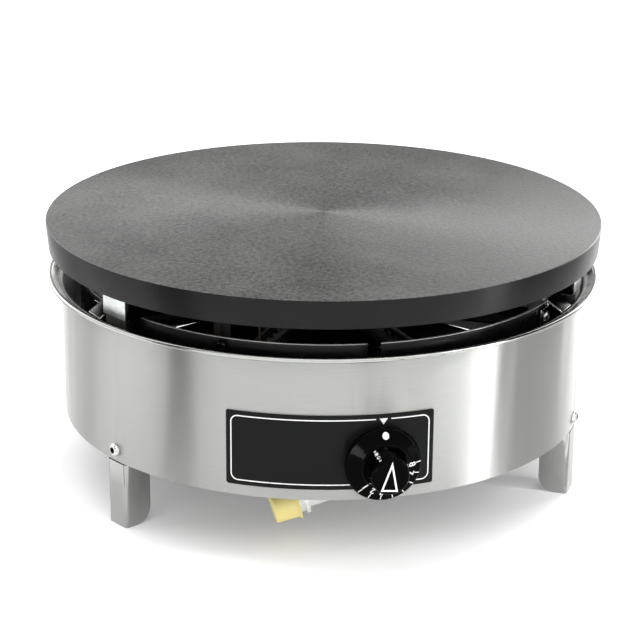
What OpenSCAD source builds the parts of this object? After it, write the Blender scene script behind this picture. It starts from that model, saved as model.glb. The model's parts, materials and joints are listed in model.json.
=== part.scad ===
// Gas crepe maker: a cast-iron griddle plate over a star burner, in a round steel body on three folded legs.
// Millimetres. The origin is the centre of the cooking surface, +Z is up and the knob faces -Y.

/* [Griddle plate] */
// Diameter of the cooking surface
plate_d = 400; // [370:1:430]
// Thickness at the rim
plate_t = 20; // [18:1:26]
// Thickness inside the thick outer band
plate_web_t = 13; // [10:1:15]
// Width of the thick outer band that lies on the rests
plate_band_w = 45; // [40:1:52]
// How much smaller the underside's radius is than the top's
plate_draft = 1.5; // [0.5:0.5:3]
// Rounding of the rim's top edge
plate_edge_r = 1; // [0.5:0.25:2]
// Height of the cast lugs that keep the plate from sliding off its rests
lug_h = 8; // [5:1:10]

/* [Body] */
// How far the plate's rim stands out past the body wall
plate_overhang = 10; // [8:1:14]
// Height of the body with its lip
body_h = 102.8; // [99:0.2:112]
// Thickness of the body sheet
body_t = 1; // [0.8:0.1:1.2]
// Drop from the top of the combustion ring to the top of the lip
lip_drop = 1.7; // [1:0.1:4]
// How far the flared lip stands out from the wall
lip_w = 9.5; // [8:0.5:11]
// Slope of the lip, in degrees
lip_slope = 21; // [10:1:30]
// Radius of the rolled edge of the lip
lip_bead_r = 1.7; // [1.2:0.1:2]
// Inside radius of the fold between wall and lip
lip_fold_r = 2; // [1:0.25:3]

/* [Front label] */
// Height of the label
label_h = 52.5; // [48:0.5:56]
// Where the label starts and ends round the body, in degrees
label_from = 238.8; // [232:0.2:242]
label_to = 281; // [280:0.2:286]
// Thickness of the label
label_t = 0.6; // [0.4:0.1:1]
// Corner radius of the label
label_corner_r = 1.5; // [1:0.5:8]
// Height of the bare wall under the label
label_rise = 7.7; // [5:0.1:9]

/* [Plate rests] */
// Height of a rest, from the combustion ring to the plate
rest_h = 18; // [15:1:24]
// Width of a rest
rest_w = 28; // [26:1:32]
// Depth of a rest towards the middle
rest_depth = 26.5; // [24:0.5:30]
// Sheet thickness of rests, hangers and small brackets
sheet_t = 1.5; // [1:0.1:1.8]

/* [Combustion ring] */
// Gap from the body wall in to the ring
ring_inset = 13.5; // [13:0.5:15]
// Height of the ring
ring_h = 46; // [44:1:49]
// Thickness of the ring
ring_t = 1.5; // [1:0.1:2]
// Width of the lighting notch at the ring's joint
notch_w = 9; // [6:0.5:12]
// Depth of the lighting notch
notch_depth = 10; // [6:0.5:14]

/* [Legs] */
// Width of a leg channel
leg_w = 20; // [18:1:24]
// Depth of a leg channel
leg_depth = 20; // [19:1:23]
// Thickness of the leg sheet
leg_t = 2; // [1.5:0.1:2.5]
// Outside radius of the folds
leg_bend_r = 2.6; // [2.6:0.1:5]
// Gap between the body's bottom edge and the legs' shoulders
leg_shoulder_gap = 1.2; // [0.4:0.1:2]
// Radius of the lower inner corners
leg_corner_r = 12; // [8:0.5:14]
// Height of the body above the worktop
foot_h = 48.5; // [42:0.5:60]
// Height of the leg screw above the body's bottom edge
leg_screw_rise = 8.2; // [7:0.2:12]

/* [Burner] */
// Number of burner arms
arm_count = 8; // [6:1:8]
// Radius of a burner arm
arm_r = 8; // [7:0.5:9]
// Wall of a burner arm
arm_wall = 1.5; // [1:0.1:2]
// Gap from the arm's end to the combustion ring
arm_end_gap = 22; // [16:1:30]
// Direction of the first arm, in degrees
arm_from = 284; // [282:1:290]
// Radius of a flame port
port_r = 1.2; // [0.8:0.1:1.5]
// Distance from one flame port to the next
port_pitch = 10; // [8:0.5:14]
// Radius of the burner hub
hub_r = 38; // [34:1:42]
// Height of the burner hub
hub_h = 32; // [28:1:34]
// Outer radius of the mixing tube
mixer_r = 12; // [10:0.5:13]
// Wall of the mixing tube
mixer_wall = 2.5; // [1.5:0.25:3]
// Depth of the mixing tube's axis below the combustion ring
mixer_drop = 22; // [20:0.5:23]
// Radius of the mixing tube's mouth
mouth_r = 18; // [16:0.5:19]

/* [Gas valve] */
// Height of the knob's axis above the body's bottom edge
knob_rise = 28; // [27:0.5:30]
// Width, height and depth of the valve block
valve_w = 64; // [60:1:68]
valve_h = 42; // [38:1:42]
valve_d = 56; // [52:1:60]
// Half the distance between the two mounting screws
valve_screw_x = 19; // [18.5:0.25:21]
// Length of the mounting bosses
valve_boss_l = 10; // [9:0.5:12]
// Radius of the spindle
spindle_r = 4; // [3:0.25:4.5]
// How far the knob and spindle push in
knob_push = 5; // [3:0.5:5]

/* [Knob] */
// Radius of the skirt
knob_r = 25.8; // [24:0.2:27]
// Thickness of the skirt's rim
knob_rim_t = 2.5; // [2:0.25:4]
// Radius at the foot of the grip and at its face
grip_foot_r = 16; // [14.5:0.5:18]
grip_face_r = 12.7; // [11:0.1:13]
// Length of the knob, from the back of its rim to its face
knob_l = 24.2; // [22:0.1:28]
// Wall of the knob
knob_wall = 2; // [1.5:0.25:2.5]

/* [Gas inlet] */
// Outer radius of the inlet's G 1/2 thread
thread_r = 10.48; // [8:0.1:13]
// Length of the thread
thread_l = 15; // [12:1:18]
// Slope of the inlet below level, in degrees
inlet_slope = 15; // [5:1:20]
// Distance of the inlet in front of the axis
inlet_y = 146; // [140:1:152]
// Distance of the inlet elbow to the side of the axis
inlet_x = 10; // [6:1:14]
// Length from the elbow's middle to its collar
inlet_l = 32; // [28:1:40]
// Outer radius of the elbow
elbow_r = 7.5; // [6.5:0.25:8]
// Wall of the yellow cap
cap_wall = 1.2; // [0.8:0.1:1.6]

/* [Heat shield] */
// Thickness of the heat shield
shield_t = 1; // [0.8:0.1:1.5]
// Height of the heat shield above the body's bottom edge
shield_rise = 1; // [0.5:0.5:3]
// Height of the shield's turned-up rim
shield_rim_h = 8; // [5:1:9]

/* [Hidden] */
$fn = 96;

// Clearances
slip = 0.05; // radial gap of a turning fit
gap = 0.1; // gap between faces that slide past each other
lug_gap = 0.5; // play of the plate's lugs in the rests
hole_gap = 0.25; // radial gap of a screw in its hole

// Directions of the three stations that carry the plate, in degrees
LEFT = 210;
RIGHT = 330;
REAR = 90;
STATIONS = [LEFT, RIGHT, REAR];

// Radii
plate_r = plate_d / 2;
body_r = plate_r - plate_overhang;
wall_r = body_r - body_t; // inside of the body wall
leg_gap = 0.2;
leg_r = wall_r - leg_gap; // outer face of a leg
leg_in_r = leg_r - leg_depth;
rest_step = 0.3;
rest_r = leg_r - rest_step; // outer face of a rest
ring_r = body_r - ring_inset;
ring_in_r = ring_r - ring_t;
arm_end_r = ring_in_r - arm_end_gap;

// Levels
ring_top = -plate_t - rest_h;
ring_bottom = ring_top - ring_h;
lip_top = ring_top - lip_drop;
body_bottom = lip_top - body_h;
floor_z = body_bottom - foot_h;
leg_screw_z = body_bottom + leg_screw_rise;
knob_z = body_bottom + knob_rise;

// Screws: M3, M4 and M5 shanks, heads and nuts
M3 = 1.5;
M4 = 2;
M5 = 2.5;
function head_r(m) = 1.85 * m;
function head_h(m) = 1.25 * m;
function nut_af(m) = 3.5 * m;
function nut_h(m) = 1.6 * m;

// Ring hangers
hanger_at = -9.7; // degrees from their station
hanger_w = 29;
hanger_tab_w = 17;
hanger_foot_h = 16;
hanger_fold_rise = 1.5; // height of the tab's fold above the ring
hanger_drop = 7.5; // from the fold to the tab's end
hanger_film = 0.05; // enamel between ring and hanger
hanger_r = ring_r + hanger_film;
hanger_screw_y = -8;
hanger_screw_z = ring_top - 9;
hanger_nut_r = sqrt(pow(ring_in_r, 2) - pow(hanger_screw_y - nut_af(M4) / 2, 2)) - 0.1;

// Spider and burner
spider_t = 2;
spider_top = ring_bottom + spider_t;
spider_hub_r = 30;
spider_tab_h = 16;
spider_tab_gap = 0.4;
hub_z = spider_top;
hub_wall = 3;
hub_floor = 6;
hub_bore_r = 10;
hub_foot_r = 26;
arm_z = hub_z + hub_h / 2 + 4;
arm_seat = 2.5; // depth of an arm in the hub's wall
burner_screw_r = 20;
mixer_z = ring_bottom - mixer_drop;
mixer_flange_t = 4;

// The valve, in distances in front of the axis
valve_boss_r = 5;
panel_d = sqrt(pow(wall_r, 2) - pow(valve_screw_x + valve_boss_r, 2)) - slip; // the bosses' ends
valve_front = panel_d - valve_boss_l;
valve_back = valve_front - valve_d;
bonnet_end = wall_r - 2;
bonnet_wall = 2;
bonnet_r = 12;
bonnet_screw_r = bonnet_r + head_r(M3) + 0.2;
chamber_r = 8.6;
chamber_l = 10; // depth of the spring chamber in the block
collar_t = 1.5;
collar_d = bonnet_end - bonnet_wall - gap - collar_t; // back of the spindle's collar
washer_t = 1.5;
washer_d = collar_d - gap - washer_t; // back of the thrust washer
spring_end = valve_front - chamber_l; // where the spring bears on the block
tail_l = 8; // spindle behind the chamber
spindle_end = 20.5; // spindle past the wall's outside
flat_depth = 1;
flat_l = 13;
outlet_run = 42; // from the block's back to the mouth of the mixing tube
outlet_boss_l = 6;
outlet_boss_r = 9.5;
holder_r = 6;
mouth_d = valve_back - outlet_run;
plate_wall = 2; // face plate of the mouth
stub_r = 8;
stub_l = 4;
nose_r = 4.5;

// Knob, from the back of its rim outwards
knob_gap = 0.7; // from the label to the pushed-in knob
label_r = body_r + slip;
knob_back = label_r + label_t + knob_push + knob_gap;
insert_r = 7;
insert_l = 13.5;

// Inlet, along its own sloping axis
collar_l = 2.5;
neck_l = 5;
neck_r = thread_r - 1.2;
inlet_collar_r = thread_r + 0.5;
valve_bottom = knob_z - valve_h / 2;
inlet_boss_l = 2.5;
inlet_nut_h = 5;
elbow_z = valve_bottom - inlet_boss_l - inlet_nut_h - 6;

// Pilot, thermocouple and thermostat
pilot_x = -8;
pilot_y = -(valve_front + valve_back) / 2;
couple_x = 8;
pilot_tube_z = knob_z + valve_h / 2 + 3; // top of the pilot's outlet on the valve
pilot_tube_l = 6;
pilot_nut_h = 6;
shelf_z = pilot_tube_z + pilot_tube_l + pilot_nut_h;
shelf_in_r = -pilot_y - 10;
shelf_w = 30;
bulb_az = 236;
bulb_r = 3;
bulb_l = 61;
bulb_to = plate_d / 2 - plate_band_w - 9; // inside the plate's thick band
bulb_from = bulb_to - bulb_l;
bulb_z = -plate_web_t - bulb_r - 1.5;
strap_z = bulb_z - bulb_r - 0.2;
strap_t = 1.2;
strap_w = 12;
bracket_film = 0.05; // enamel between ring and bracket
rivet_r = 1.6;
bulb_rivets = [ring_top - 17, ring_top - 6];
pilot_rivets = [-3.5, 3.5]; // degrees from the front
pilot_rivet_z = shelf_z + 9;
head_x = -valve_w / 2 - 8;
head_z = knob_z + 6.5;
magnet_x = valve_w / 2 + 18;
magnet_z = knob_z - 3.5;

function polar(r, az, z) = [r * cos(az), r * sin(az), z];

// The thermocouple's lead, from under the thermocouple to the safety magnet
LEAD_POINTS = [
    [couple_x, pilot_y, shelf_z - 7 - gap], [couple_x, pilot_y, shelf_z - 9],
    [couple_x + 4, pilot_y, shelf_z - 12],
    [couple_x + 26, pilot_y, shelf_z - 12], [magnet_x + 2, pilot_y - 1, shelf_z - 14],
    [magnet_x + 12, pilot_y - 2, shelf_z - 22], [magnet_x + 15, pilot_y - 2, magnet_z + 9],
    [magnet_x + 12, pilot_y - 2, magnet_z + 1], [magnet_x + 6 + gap, pilot_y - 2, magnet_z],
];

// The capillary, from the bulb's outer end to the thermostat's head
CAPILLARY_POINTS = [
    polar(bulb_to + gap, bulb_az, bulb_z), polar(bulb_to + 2, bulb_az, bulb_z),
    polar(bulb_to + 3.5, 238.4, bulb_z - 1), polar(bulb_to + 6, 240.5, bulb_z - 4.5),
    polar(bulb_to + 9, 242.5, bulb_z - 10), polar(ring_in_r - 16, 243, ring_top + 1),
    polar(ring_in_r - 12, 243.5, ring_top - 14), polar(ring_in_r - 9, 243.5, ring_top - 32),
    polar(ring_in_r - 9, 244, ring_bottom - 2), polar(ring_in_r - 12, 246, head_z + 10),
    polar(ring_in_r - 17, 249, head_z + 1), [head_x - 7, pilot_y + 2, head_z],
    [head_x - gap, pilot_y + 2, head_z],
];

// Small shapes that repeat

// A child on the direction az: its +X points outwards
module at(az) rotate([0, 0, az]) children();

// A child on a level axis at height z: its +Z points outwards
module outward(z) translate([0, 0, z]) rotate([0, 90, 0]) children();

// A child on the knob's axis: its +Z points at the user and z is the distance from the plate's axis
module facing_user(x, z) translate([x, 0, z]) rotate([90, 0, 0]) children();

// A box between two corners
module box(x, y, z) translate([x[0], y[0], z[0]]) cube([x[1] - x[0], y[1] - y[0], z[1] - z[0]]);

// A rod, a tube and a hexagon along Z
module rod(r, from, to) translate([0, 0, from]) cylinder(r = r, h = to - from);
module tube(r_out, r_in, from, to) difference() {
    rod(r_out, from, to);
    rod(r_in, from - 1, to + 1);
}
module hexagon(af, from, to) translate([0, 0, from]) cylinder(r = af / sqrt(3), h = to - from, $fn = 6);

// Part of a round sheet between two directions
module sheet_arc(r_in, r_out, from, to, low, high)
    at(from) rotate_extrude(angle = to - from) translate([r_in, low]) square([r_out - r_in, high - low]);

// A pan-head screw: its head stands on z = 0 and its shank goes down
module screw(m, l) {
    r = head_r(m);
    h = head_h(m);
    difference() {
        union() {
            rotate_extrude() polygon([
                [0, 0], [r, 0], [r, 0.45 * h], [0.85 * r, 0.8 * h], [0.5 * r, h], [0, h],
            ]);
            rod(m - slip, -l, 0.1 * h);
        }
        hexagon(0.55 * r, 0.45 * h, h + 1);
    }
}

module nut(m, from) difference() {
    hexagon(nut_af(m), from, from + nut_h(m));
    rod(m + slip, from - 1, from + nut_h(m) + 1);
}

// Plan of a folded channel with its web at x = r and its flanges towards the middle
module channel_outline(r, w, depth, bend) {
    translate([r - depth, -w / 2]) square([depth - bend, w]);
    translate([r - depth, -w / 2 + bend]) square([depth, w - 2 * bend]);
    for (s = [-1, 1])
        translate([r - bend, s * (w / 2 - bend)]) circle(r = bend);
}
module channel_plan(r, w, depth, t, bend) difference() {
    channel_outline(r, w, depth, bend);
    channel_outline(r - t, w - 2 * t, depth, bend - t);
}

// A square with round corners, centred
module round_square(w, h, r) {
    square([w - 2 * r, h], center = true);
    square([w, h - 2 * r], center = true);
    for (x = [-1, 1], y = [-1, 1])
        translate([x * (w / 2 - r), y * (h / 2 - r)]) circle(r = r);
}

// Tubes along a path
function unit(v) = v / norm(v);
function curve(p, i, t) =
    let (a = p[max(i - 1, 0)], b = p[i], c = p[i + 1], d = p[min(i + 2, len(p) - 1)])
    0.5 * (2 * b + (c - a) * t + (2 * a - 5 * b + 4 * c - d) * t * t + (3 * b - a - 3 * c + d) * t * t * t);
function smooth(p, n) = [for (i = [0:len(p) - 2], k = [0:n - 1]) curve(p, i, k / n), p[len(p) - 1]];
function tangents(p) = [for (i = [0:len(p) - 1]) unit(p[min(i + 1, len(p) - 1)] - p[max(i - 1, 0)])];
function sideways(t) = unit(cross(t, abs(t[2]) < 0.8 ? [0, 0, 1] : [1, 0, 0]));
function normals(t) = [
    for (i = 0, n = sideways(t[0]); i < len(t); i = i + 1,
        n = i < len(t) ? unit(n - (n * t[i]) * t[i]) : n) n
];
module sweep(path, r, sides) {
    t = tangents(path);
    n = normals(t);
    rings = len(path);
    points = [
        for (i = [0:rings - 1], k = [0:sides - 1])
            path[i] + r * (cos(360 * k / sides) * n[i] + sin(360 * k / sides) * cross(t[i], n[i]))
    ];
    walls = [
        for (i = [0:rings - 2], k = [0:sides - 1])
            let (a = i * sides + k, b = i * sides + (k + 1) % sides)
                each [[a, a + sides, b], [b, a + sides, b + sides]]
    ];
    ends = [[for (k = [0:sides - 1]) k], [for (k = [sides - 1:-1:0]) (rings - 1) * sides + k]];
    polyhedron(points, concat(walls, ends));
}

// Griddle plate and rests

module griddle_plate() color([0.22, 0.22, 0.22]) {
    low_r = plate_r - plate_draft;
    web_r = plate_r - plate_band_w;
    step = plate_t - plate_web_t;
    rotate_extrude() polygon([
        [0, 0],
        for (a = [90:-30:0])
            [plate_r - plate_edge_r + plate_edge_r * cos(a), -plate_edge_r + plate_edge_r * sin(a)],
        [low_r, -plate_t + 0.8], [low_r - 0.8, -plate_t],
        [web_r, -plate_t], [web_r - step, -plate_web_t], [0, -plate_web_t],
    ]);
    for (az = STATIONS)
        at(az) griddle_lug();
}

// A cast lug that drops between the sides of a rest, wider at its root
module griddle_lug() {
    half = rest_w / 2 - sheet_t - lug_gap;
    far = rest_r - sheet_t - lug_gap;
    near = rest_r - rest_depth + 2;
    translate([near, 0, -plate_t]) rotate([90, 0, 90]) linear_extrude(far - near)
        polygon([[-half, 1], [-half, -1], [-half + 2, -lug_h], [half - 2, -lug_h], [half, -1], [half, 1]]);
}

module plate_rest(az) color([0.75, 0.76, 0.75]) at(az) difference() {
    union() {
        translate([0, 0, ring_top]) linear_extrude(rest_h)
            channel_plan(rest_r, rest_w, rest_depth, sheet_t, sheet_t + 1);
        box([ring_r + sheet_t, rest_r - 0.5 * sheet_t], [-rest_tongue_w / 2, rest_tongue_w / 2],
            [ring_top, ring_top + sheet_t]);
    }
    translate([rest_screw_r, 0, ring_top]) rod(M4 + hole_gap, -1, sheet_t + 1);
}
rest_tongue_w = leg_w - 4;
rest_screw_r = ring_r + 5.5;
module plate_rest_left() plate_rest(LEFT);
module plate_rest_right() plate_rest(RIGHT);
module plate_rest_rear() plate_rest(REAR);

module rest_screws() color([0.8, 0.8, 0.8]) for (az = STATIONS)
    at(az) translate([rest_screw_r, 0, ring_top + sheet_t]) screw(M4, 8);

module rest_nuts() color([0.7, 0.7, 0.7]) for (az = STATIONS)
    at(az) translate([rest_screw_r, 0, 0]) rotate([0, 0, 30]) nut(M4, ring_top - sheet_t - nut_h(M4));

// Body and label

// The wall's profile: a straight wall, a fold, a sloping lip and its rolled edge
module body_profile() {
    mid_r = lip_fold_r + body_t / 2;
    fold_x = body_r + lip_fold_r;
    bead = [body_r + lip_w - lip_bead_r, lip_top - lip_bead_r];
    side = [-sin(lip_slope), cos(lip_slope)] * body_t / 2;
    fold_z = bead[1] - mid_r * cos(lip_slope) - (bead[0] - fold_x + mid_r * sin(lip_slope)) * tan(lip_slope);
    fold = [for (k = [0:4]) 180 - k * (90 - lip_slope) / 4];
    polygon([
        [body_r, body_bottom],
        for (a = fold) [fold_x, fold_z] + lip_fold_r * [cos(a), sin(a)],
        bead - side, bead + side,
        for (k = [4:-1:0]) [fold_x, fold_z] + (lip_fold_r + body_t) * [cos(fold[k]), sin(fold[k])],
        [wall_r, body_bottom],
    ]);
    translate(bead) circle(r = lip_bead_r);
}

// What passes through the front wall: the spindle and the two mounting screws
module front_holes() facing_user(0, knob_z) {
    rod(spindle_r + 2, wall_r - 10, body_r + 10);
    for (s = [-1, 1])
        translate([s * valve_screw_x, 0, 0]) rod(M4 + hole_gap, wall_r - 10, body_r + 10);
}

module body_shell() color([0.78, 0.78, 0.77]) difference() {
    rotate_extrude() body_profile();
    front_holes();
    for (az = STATIONS)
        at(az) outward(leg_screw_z) rod(M5 + hole_gap, wall_r - 10, body_r + 10);
}

module front_label() color([0.12, 0.12, 0.12]) {
    x = [label_r * cos(label_from), label_r * cos(label_to)];
    z = body_bottom + label_rise;
    difference() {
        intersection() {
            tube(label_r + label_t, label_r, z - 1, z + label_h + 1);
            facing_user(0, 0) translate([(x[0] + x[1]) / 2, z + label_h / 2, body_r / 2])
                linear_extrude(body_r) round_square(x[1] - x[0], label_h, label_corner_r);
        }
        front_holes();
    }
}

// Combustion ring and its hangers

notch_az = 269.3;
spider_screw_z = spider_top + spider_tab_h / 2;

module combustion_ring() color([0.1, 0.1, 0.1]) difference() {
    tube(ring_r, ring_in_r, ring_bottom, ring_top);
    at(notch_az) translate([ring_in_r - 5, -notch_w / 2, ring_top - notch_depth])
        cube([ring_t + 10, notch_w, notch_depth + 1]);
    for (az = STATIONS) {
        at(az + hanger_at) hanger_bolt() ring_hole(M4 + hole_gap);
        at(az) outward(spider_screw_z) ring_hole(M4 + hole_gap);
    }
    for (z = bulb_rivets)
        at(bulb_az) outward(z) ring_hole(rivet_r + slip);
    for (a = pilot_rivets)
        at(270 + a) outward(pilot_rivet_z) ring_hole(rivet_r + slip);
}

module ring_hole(r) rod(r, ring_in_r - 5, ring_r + 5);

// A flat foot on the ring's outside, and a tab that slopes out to the wall
module ring_hanger(az) color([0.72, 0.73, 0.72]) at(az + hanger_at) {
    outer = hanger_r + sheet_t;
    fold_z = ring_top + hanger_fold_rise;
    foot_z = ring_top - hanger_foot_h;
    half = hanger_w / 2;
    end_r = sqrt(pow(wall_r, 2) - pow(half, 2)) - 0.2;
    low = fold_z - hanger_drop;
    difference() {
        union() {
            box([hanger_r, outer], [-half, half], [foot_z, ring_top - 3]);
            translate([0, half, 0]) rotate([90, 0, 0]) linear_extrude(hanger_tab_w) polygon([
                [hanger_r, foot_z], [hanger_r, fold_z], [end_r, low], [end_r, low - sheet_t],
                [outer, fold_z - 1.2 - sheet_t], [outer, foot_z],
            ]);
        }
        hanger_bolt() rod(M4 + hole_gap, ring_in_r - 5, ring_r + 5);
    }
}

// A child on the axis of a hanger's screw
module hanger_bolt() translate([0, hanger_screw_y, 0]) outward(hanger_screw_z) children();
module ring_hanger_left() ring_hanger(LEFT);
module ring_hanger_right() ring_hanger(RIGHT);
module ring_hanger_rear() ring_hanger(REAR);

module hanger_screws() color([0.8, 0.8, 0.8]) for (az = STATIONS)
    at(az + hanger_at) hanger_bolt() translate([0, 0, hanger_r + sheet_t]) screw(M4, 9);

module hanger_nuts() color([0.7, 0.7, 0.7]) for (az = STATIONS)
    at(az + hanger_at) hanger_bolt() nut(M4, hanger_nut_r - nut_h(M4));

// Legs

module leg(az) color([0.7, 0.71, 0.7]) at(az) {
    shoulder = ring_r + 3.5; // the upper part is narrower, so that the ring can stand on the lower one
    upper_depth = leg_r - shoulder;
    step_z = body_bottom - leg_shoulder_gap; // below it the leg comes out flush with the body
    half = leg_w / 2 - leg_t; // half the width between the flanges
    middle = leg_r - leg_t / 2; // the middle of the web's thickness
    foot_middle = body_r - leg_t / 2;
    difference() {
        union() {
            translate([0, 0, floor_z]) linear_extrude(step_z - floor_z)
                channel_plan(body_r, leg_w, body_r - leg_in_r, leg_t, leg_bend_r);
            translate([0, 0, step_z]) linear_extrude(ring_bottom - step_z)
                channel_plan(leg_r, leg_w, leg_depth, leg_t, leg_bend_r);
            translate([0, 0, ring_bottom]) linear_extrude(ring_top - ring_bottom)
                channel_plan(leg_r, leg_w, upper_depth, leg_t, leg_bend_r);
            box([leg_in_r + leg_corner_r, foot_middle], [-half - 1, half + 1], [floor_z, floor_z + leg_t]);
            box([ring_r + 1.5, middle], [-half, half], [ring_top - sheet_t, ring_top]);
        }
        outward(leg_screw_z) rod(M5 + hole_gap, leg_in_r - 5, leg_r + 5);
        translate([rest_screw_r, 0, ring_top]) rod(M4 + hole_gap, -sheet_t - 1, 1);
        leg_corner_cut();
    }
}

// Rounds the lower inner corner of both flanges
module leg_corner_cut() translate([leg_in_r, 0, floor_z]) rotate([90, 0, 0]) difference() {
    translate([-1, -1, -leg_w]) cube([leg_corner_r + 1, leg_corner_r + 1, 2 * leg_w]);
    translate([leg_corner_r, leg_corner_r, -leg_w - 1]) cylinder(r = leg_corner_r, h = 2 * leg_w + 2);
}
module leg_left() leg(LEFT);
module leg_right() leg(RIGHT);
module leg_rear() leg(REAR);

module leg_screws() color([0.85, 0.85, 0.85]) for (az = STATIONS)
    at(az) outward(leg_screw_z) translate([0, 0, body_r]) screw(M5, 12);

module leg_nuts() color([0.7, 0.7, 0.7]) for (az = STATIONS)
    at(az) outward(leg_screw_z) nut(M5, leg_r - leg_t - shield_t - 0.2 - nut_h(M5));

// Burner

module burner_spider() color([0.55, 0.55, 0.55]) difference() {
    union() {
        rod(spider_hub_r, ring_bottom, spider_top);
        for (az = STATIONS)
            at(az) {
                end_r = ring_in_r - spider_tab_gap;
                width = [-leg_w / 2, leg_w / 2];
                box([0, end_r], width, [ring_bottom, spider_top]);
                box([end_r - spider_t, end_r], width, [ring_bottom, spider_top + spider_tab_h]);
            }
    }
    rod(hub_bore_r, ring_bottom - 1, spider_top + 1);
    for (s = [-1, 1])
        translate([s * burner_screw_r, 0, 0]) rod(M5 + hole_gap, ring_bottom - 1, spider_top + 1);
    for (az = STATIONS)
        at(az) outward(spider_screw_z) ring_hole(M4 + hole_gap);
}

module spider_screws() color([0.8, 0.8, 0.8]) for (az = STATIONS)
    at(az) outward(spider_screw_z) translate([0, 0, ring_r]) screw(M4, 9);

module spider_nuts() color([0.7, 0.7, 0.7]) for (az = STATIONS)
    at(az) outward(spider_screw_z) nut(M4, ring_in_r - spider_tab_gap - spider_t - nut_h(M4));

module burner_hub() color([0.35, 0.35, 0.36]) difference() {
    top = hub_z + hub_h;
    rotate_extrude() polygon([
        [0, hub_z], [hub_foot_r, hub_z], [hub_foot_r, hub_z + 3], [hub_r, hub_z + 8], [hub_r, top - 4],
        [hub_r - 8, top], [0, top],
    ]);
    rotate_extrude() polygon([
        [0, hub_z + hub_floor], [hub_foot_r - 2, hub_z + hub_floor], [hub_r - hub_wall, hub_z + 10],
        [hub_r - hub_wall, top - 5], [hub_r - 10, top - hub_wall], [0, top - hub_wall],
    ]);
    rod(hub_bore_r, hub_z - 1, hub_z + hub_floor + 1);
    for (k = [0:arm_count - 1])
        at(arm_from + k * 360 / arm_count) outward(arm_z) rod(arm_r + slip, hub_r - hub_wall - 3, hub_r + 1);
    for (s = [-1, 1])
        translate([s * burner_screw_r, 0, 0]) rod(M5, hub_z - 1, hub_z + hub_floor + 1);
}

// Tubes with two rows of flame ports each, closed at their outer ends
module burner_arms() color([0.4, 0.4, 0.4]) for (k = [0:arm_count - 1])
    at(arm_from + k * 360 / arm_count) outward(arm_z) difference() {
        first = hub_r + 10;
        rod(arm_r, hub_r - arm_seat, arm_end_r);
        rod(arm_r - arm_wall, hub_r - arm_seat - 1, arm_end_r - arm_wall);
        for (row = [-1, 1], d = [first:port_pitch:arm_end_r - 6])
            rotate([0, 0, 180 + row * 35]) outward(d) rod(port_r, arm_r - 4, arm_r + 2);
    }

module burner_screws() color([0.8, 0.8, 0.8]) for (s = [-1, 1])
    translate([s * burner_screw_r, 0, ring_bottom - mixer_flange_t]) rotate([180, 0, 0]) screw(M5, 10);

// A flanged casting: a neck up to the burner, an elbow, and a mixing tube with a face plate at its mouth
module venturi() color([0.5, 0.5, 0.51]) difference() {
    bore = mixer_r - mixer_wall;
    mouth_back = mouth_d - plate_wall;
    union() {
        rod(hub_foot_r, ring_bottom - mixer_flange_t, ring_bottom);
        rod(mixer_r + 1, mixer_z, ring_bottom - 1);
        translate([0, 0, mixer_z]) sphere(r = mixer_r + 2);
        facing_user(0, mixer_z) rotate_extrude() polygon([
            [0, 0], [mixer_r, 0], [mixer_r, mouth_back - 18], [mouth_r, mouth_back - 4], [mouth_r, mouth_d],
            [stub_r, mouth_d], [stub_r, mouth_d + stub_l], [0, mouth_d + stub_l],
        ]);
    }
    rod(hub_bore_r, mixer_z, ring_bottom + 1);
    facing_user(0, mixer_z) {
        rotate_extrude() polygon([
            [0, -hub_bore_r], [bore, -hub_bore_r], [bore, mouth_back - 18],
            [mouth_r - mixer_wall, mouth_back - 4], [mouth_r - mixer_wall, mouth_back], [0, mouth_back],
        ]);
        rod(stub_r - 2, mouth_back - 1, mouth_d + stub_l + 1);
        air_openings(mouth_back - 1, mouth_d + 1);
    }
    for (s = [-1, 1])
        translate([s * burner_screw_r, 0, ring_bottom]) rod(M5 + hole_gap, -mixer_flange_t - 1, 1);
}

// The three air openings that the face plate and the shutter share
module air_openings(from, to) for (a = [30, 150, 270])
    sheet_arc(stub_r + 2, mouth_r - 3, a - 30, a + 30, from, to);

module air_shutter() color([0.7, 0.7, 0.68]) facing_user(0, mixer_z) {
    rim_r = mouth_r + 0.4;
    near = mouth_d + gap;
    difference() {
        rod(rim_r + 1.2, mouth_d - 5, near + 1.5);
        rod(rim_r, mouth_d - 6, near);
        rod(stub_r + slip, near - 1, near + 3);
        air_openings(near - 1, near + 3);
    }
    box([-4, 4], [-rim_r - 7, -rim_r - 1], [near, near + 1.5]);
}

module shutter_ring() color([0.6, 0.6, 0.6]) facing_user(0, mixer_z)
    tube(stub_r + 2.2, stub_r + 0.02, mouth_d + 2 * gap + 1.5, mouth_d + 2 * gap + 2.5);

module injector() color([0.8, 0.65, 0.3]) facing_user(0, mixer_z) difference() {
    union() {
        rod(nose_r, mouth_d - 3, mouth_d + 7);
        hexagon(11, mouth_d + 6, mouth_d + 12);
    }
    rod(0.75, mouth_d - 4, mouth_d + 8);
    rod(2.5, mouth_d + 2, mouth_d + 13);
}

module injector_holder() color([0.78, 0.62, 0.3]) facing_user(0, mixer_z)
    tube(holder_r, 3, mouth_d + 12, valve_back - outlet_boss_l);

module outlet_nut() color([0.75, 0.6, 0.3]) facing_user(0, mixer_z) difference() {
    near = valve_back - outlet_boss_l;
    hexagon(2 * outlet_boss_r, near - 8, near - 0.2);
    rod(holder_r + slip, near - 9, near + 1);
}

// Gas valve

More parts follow.
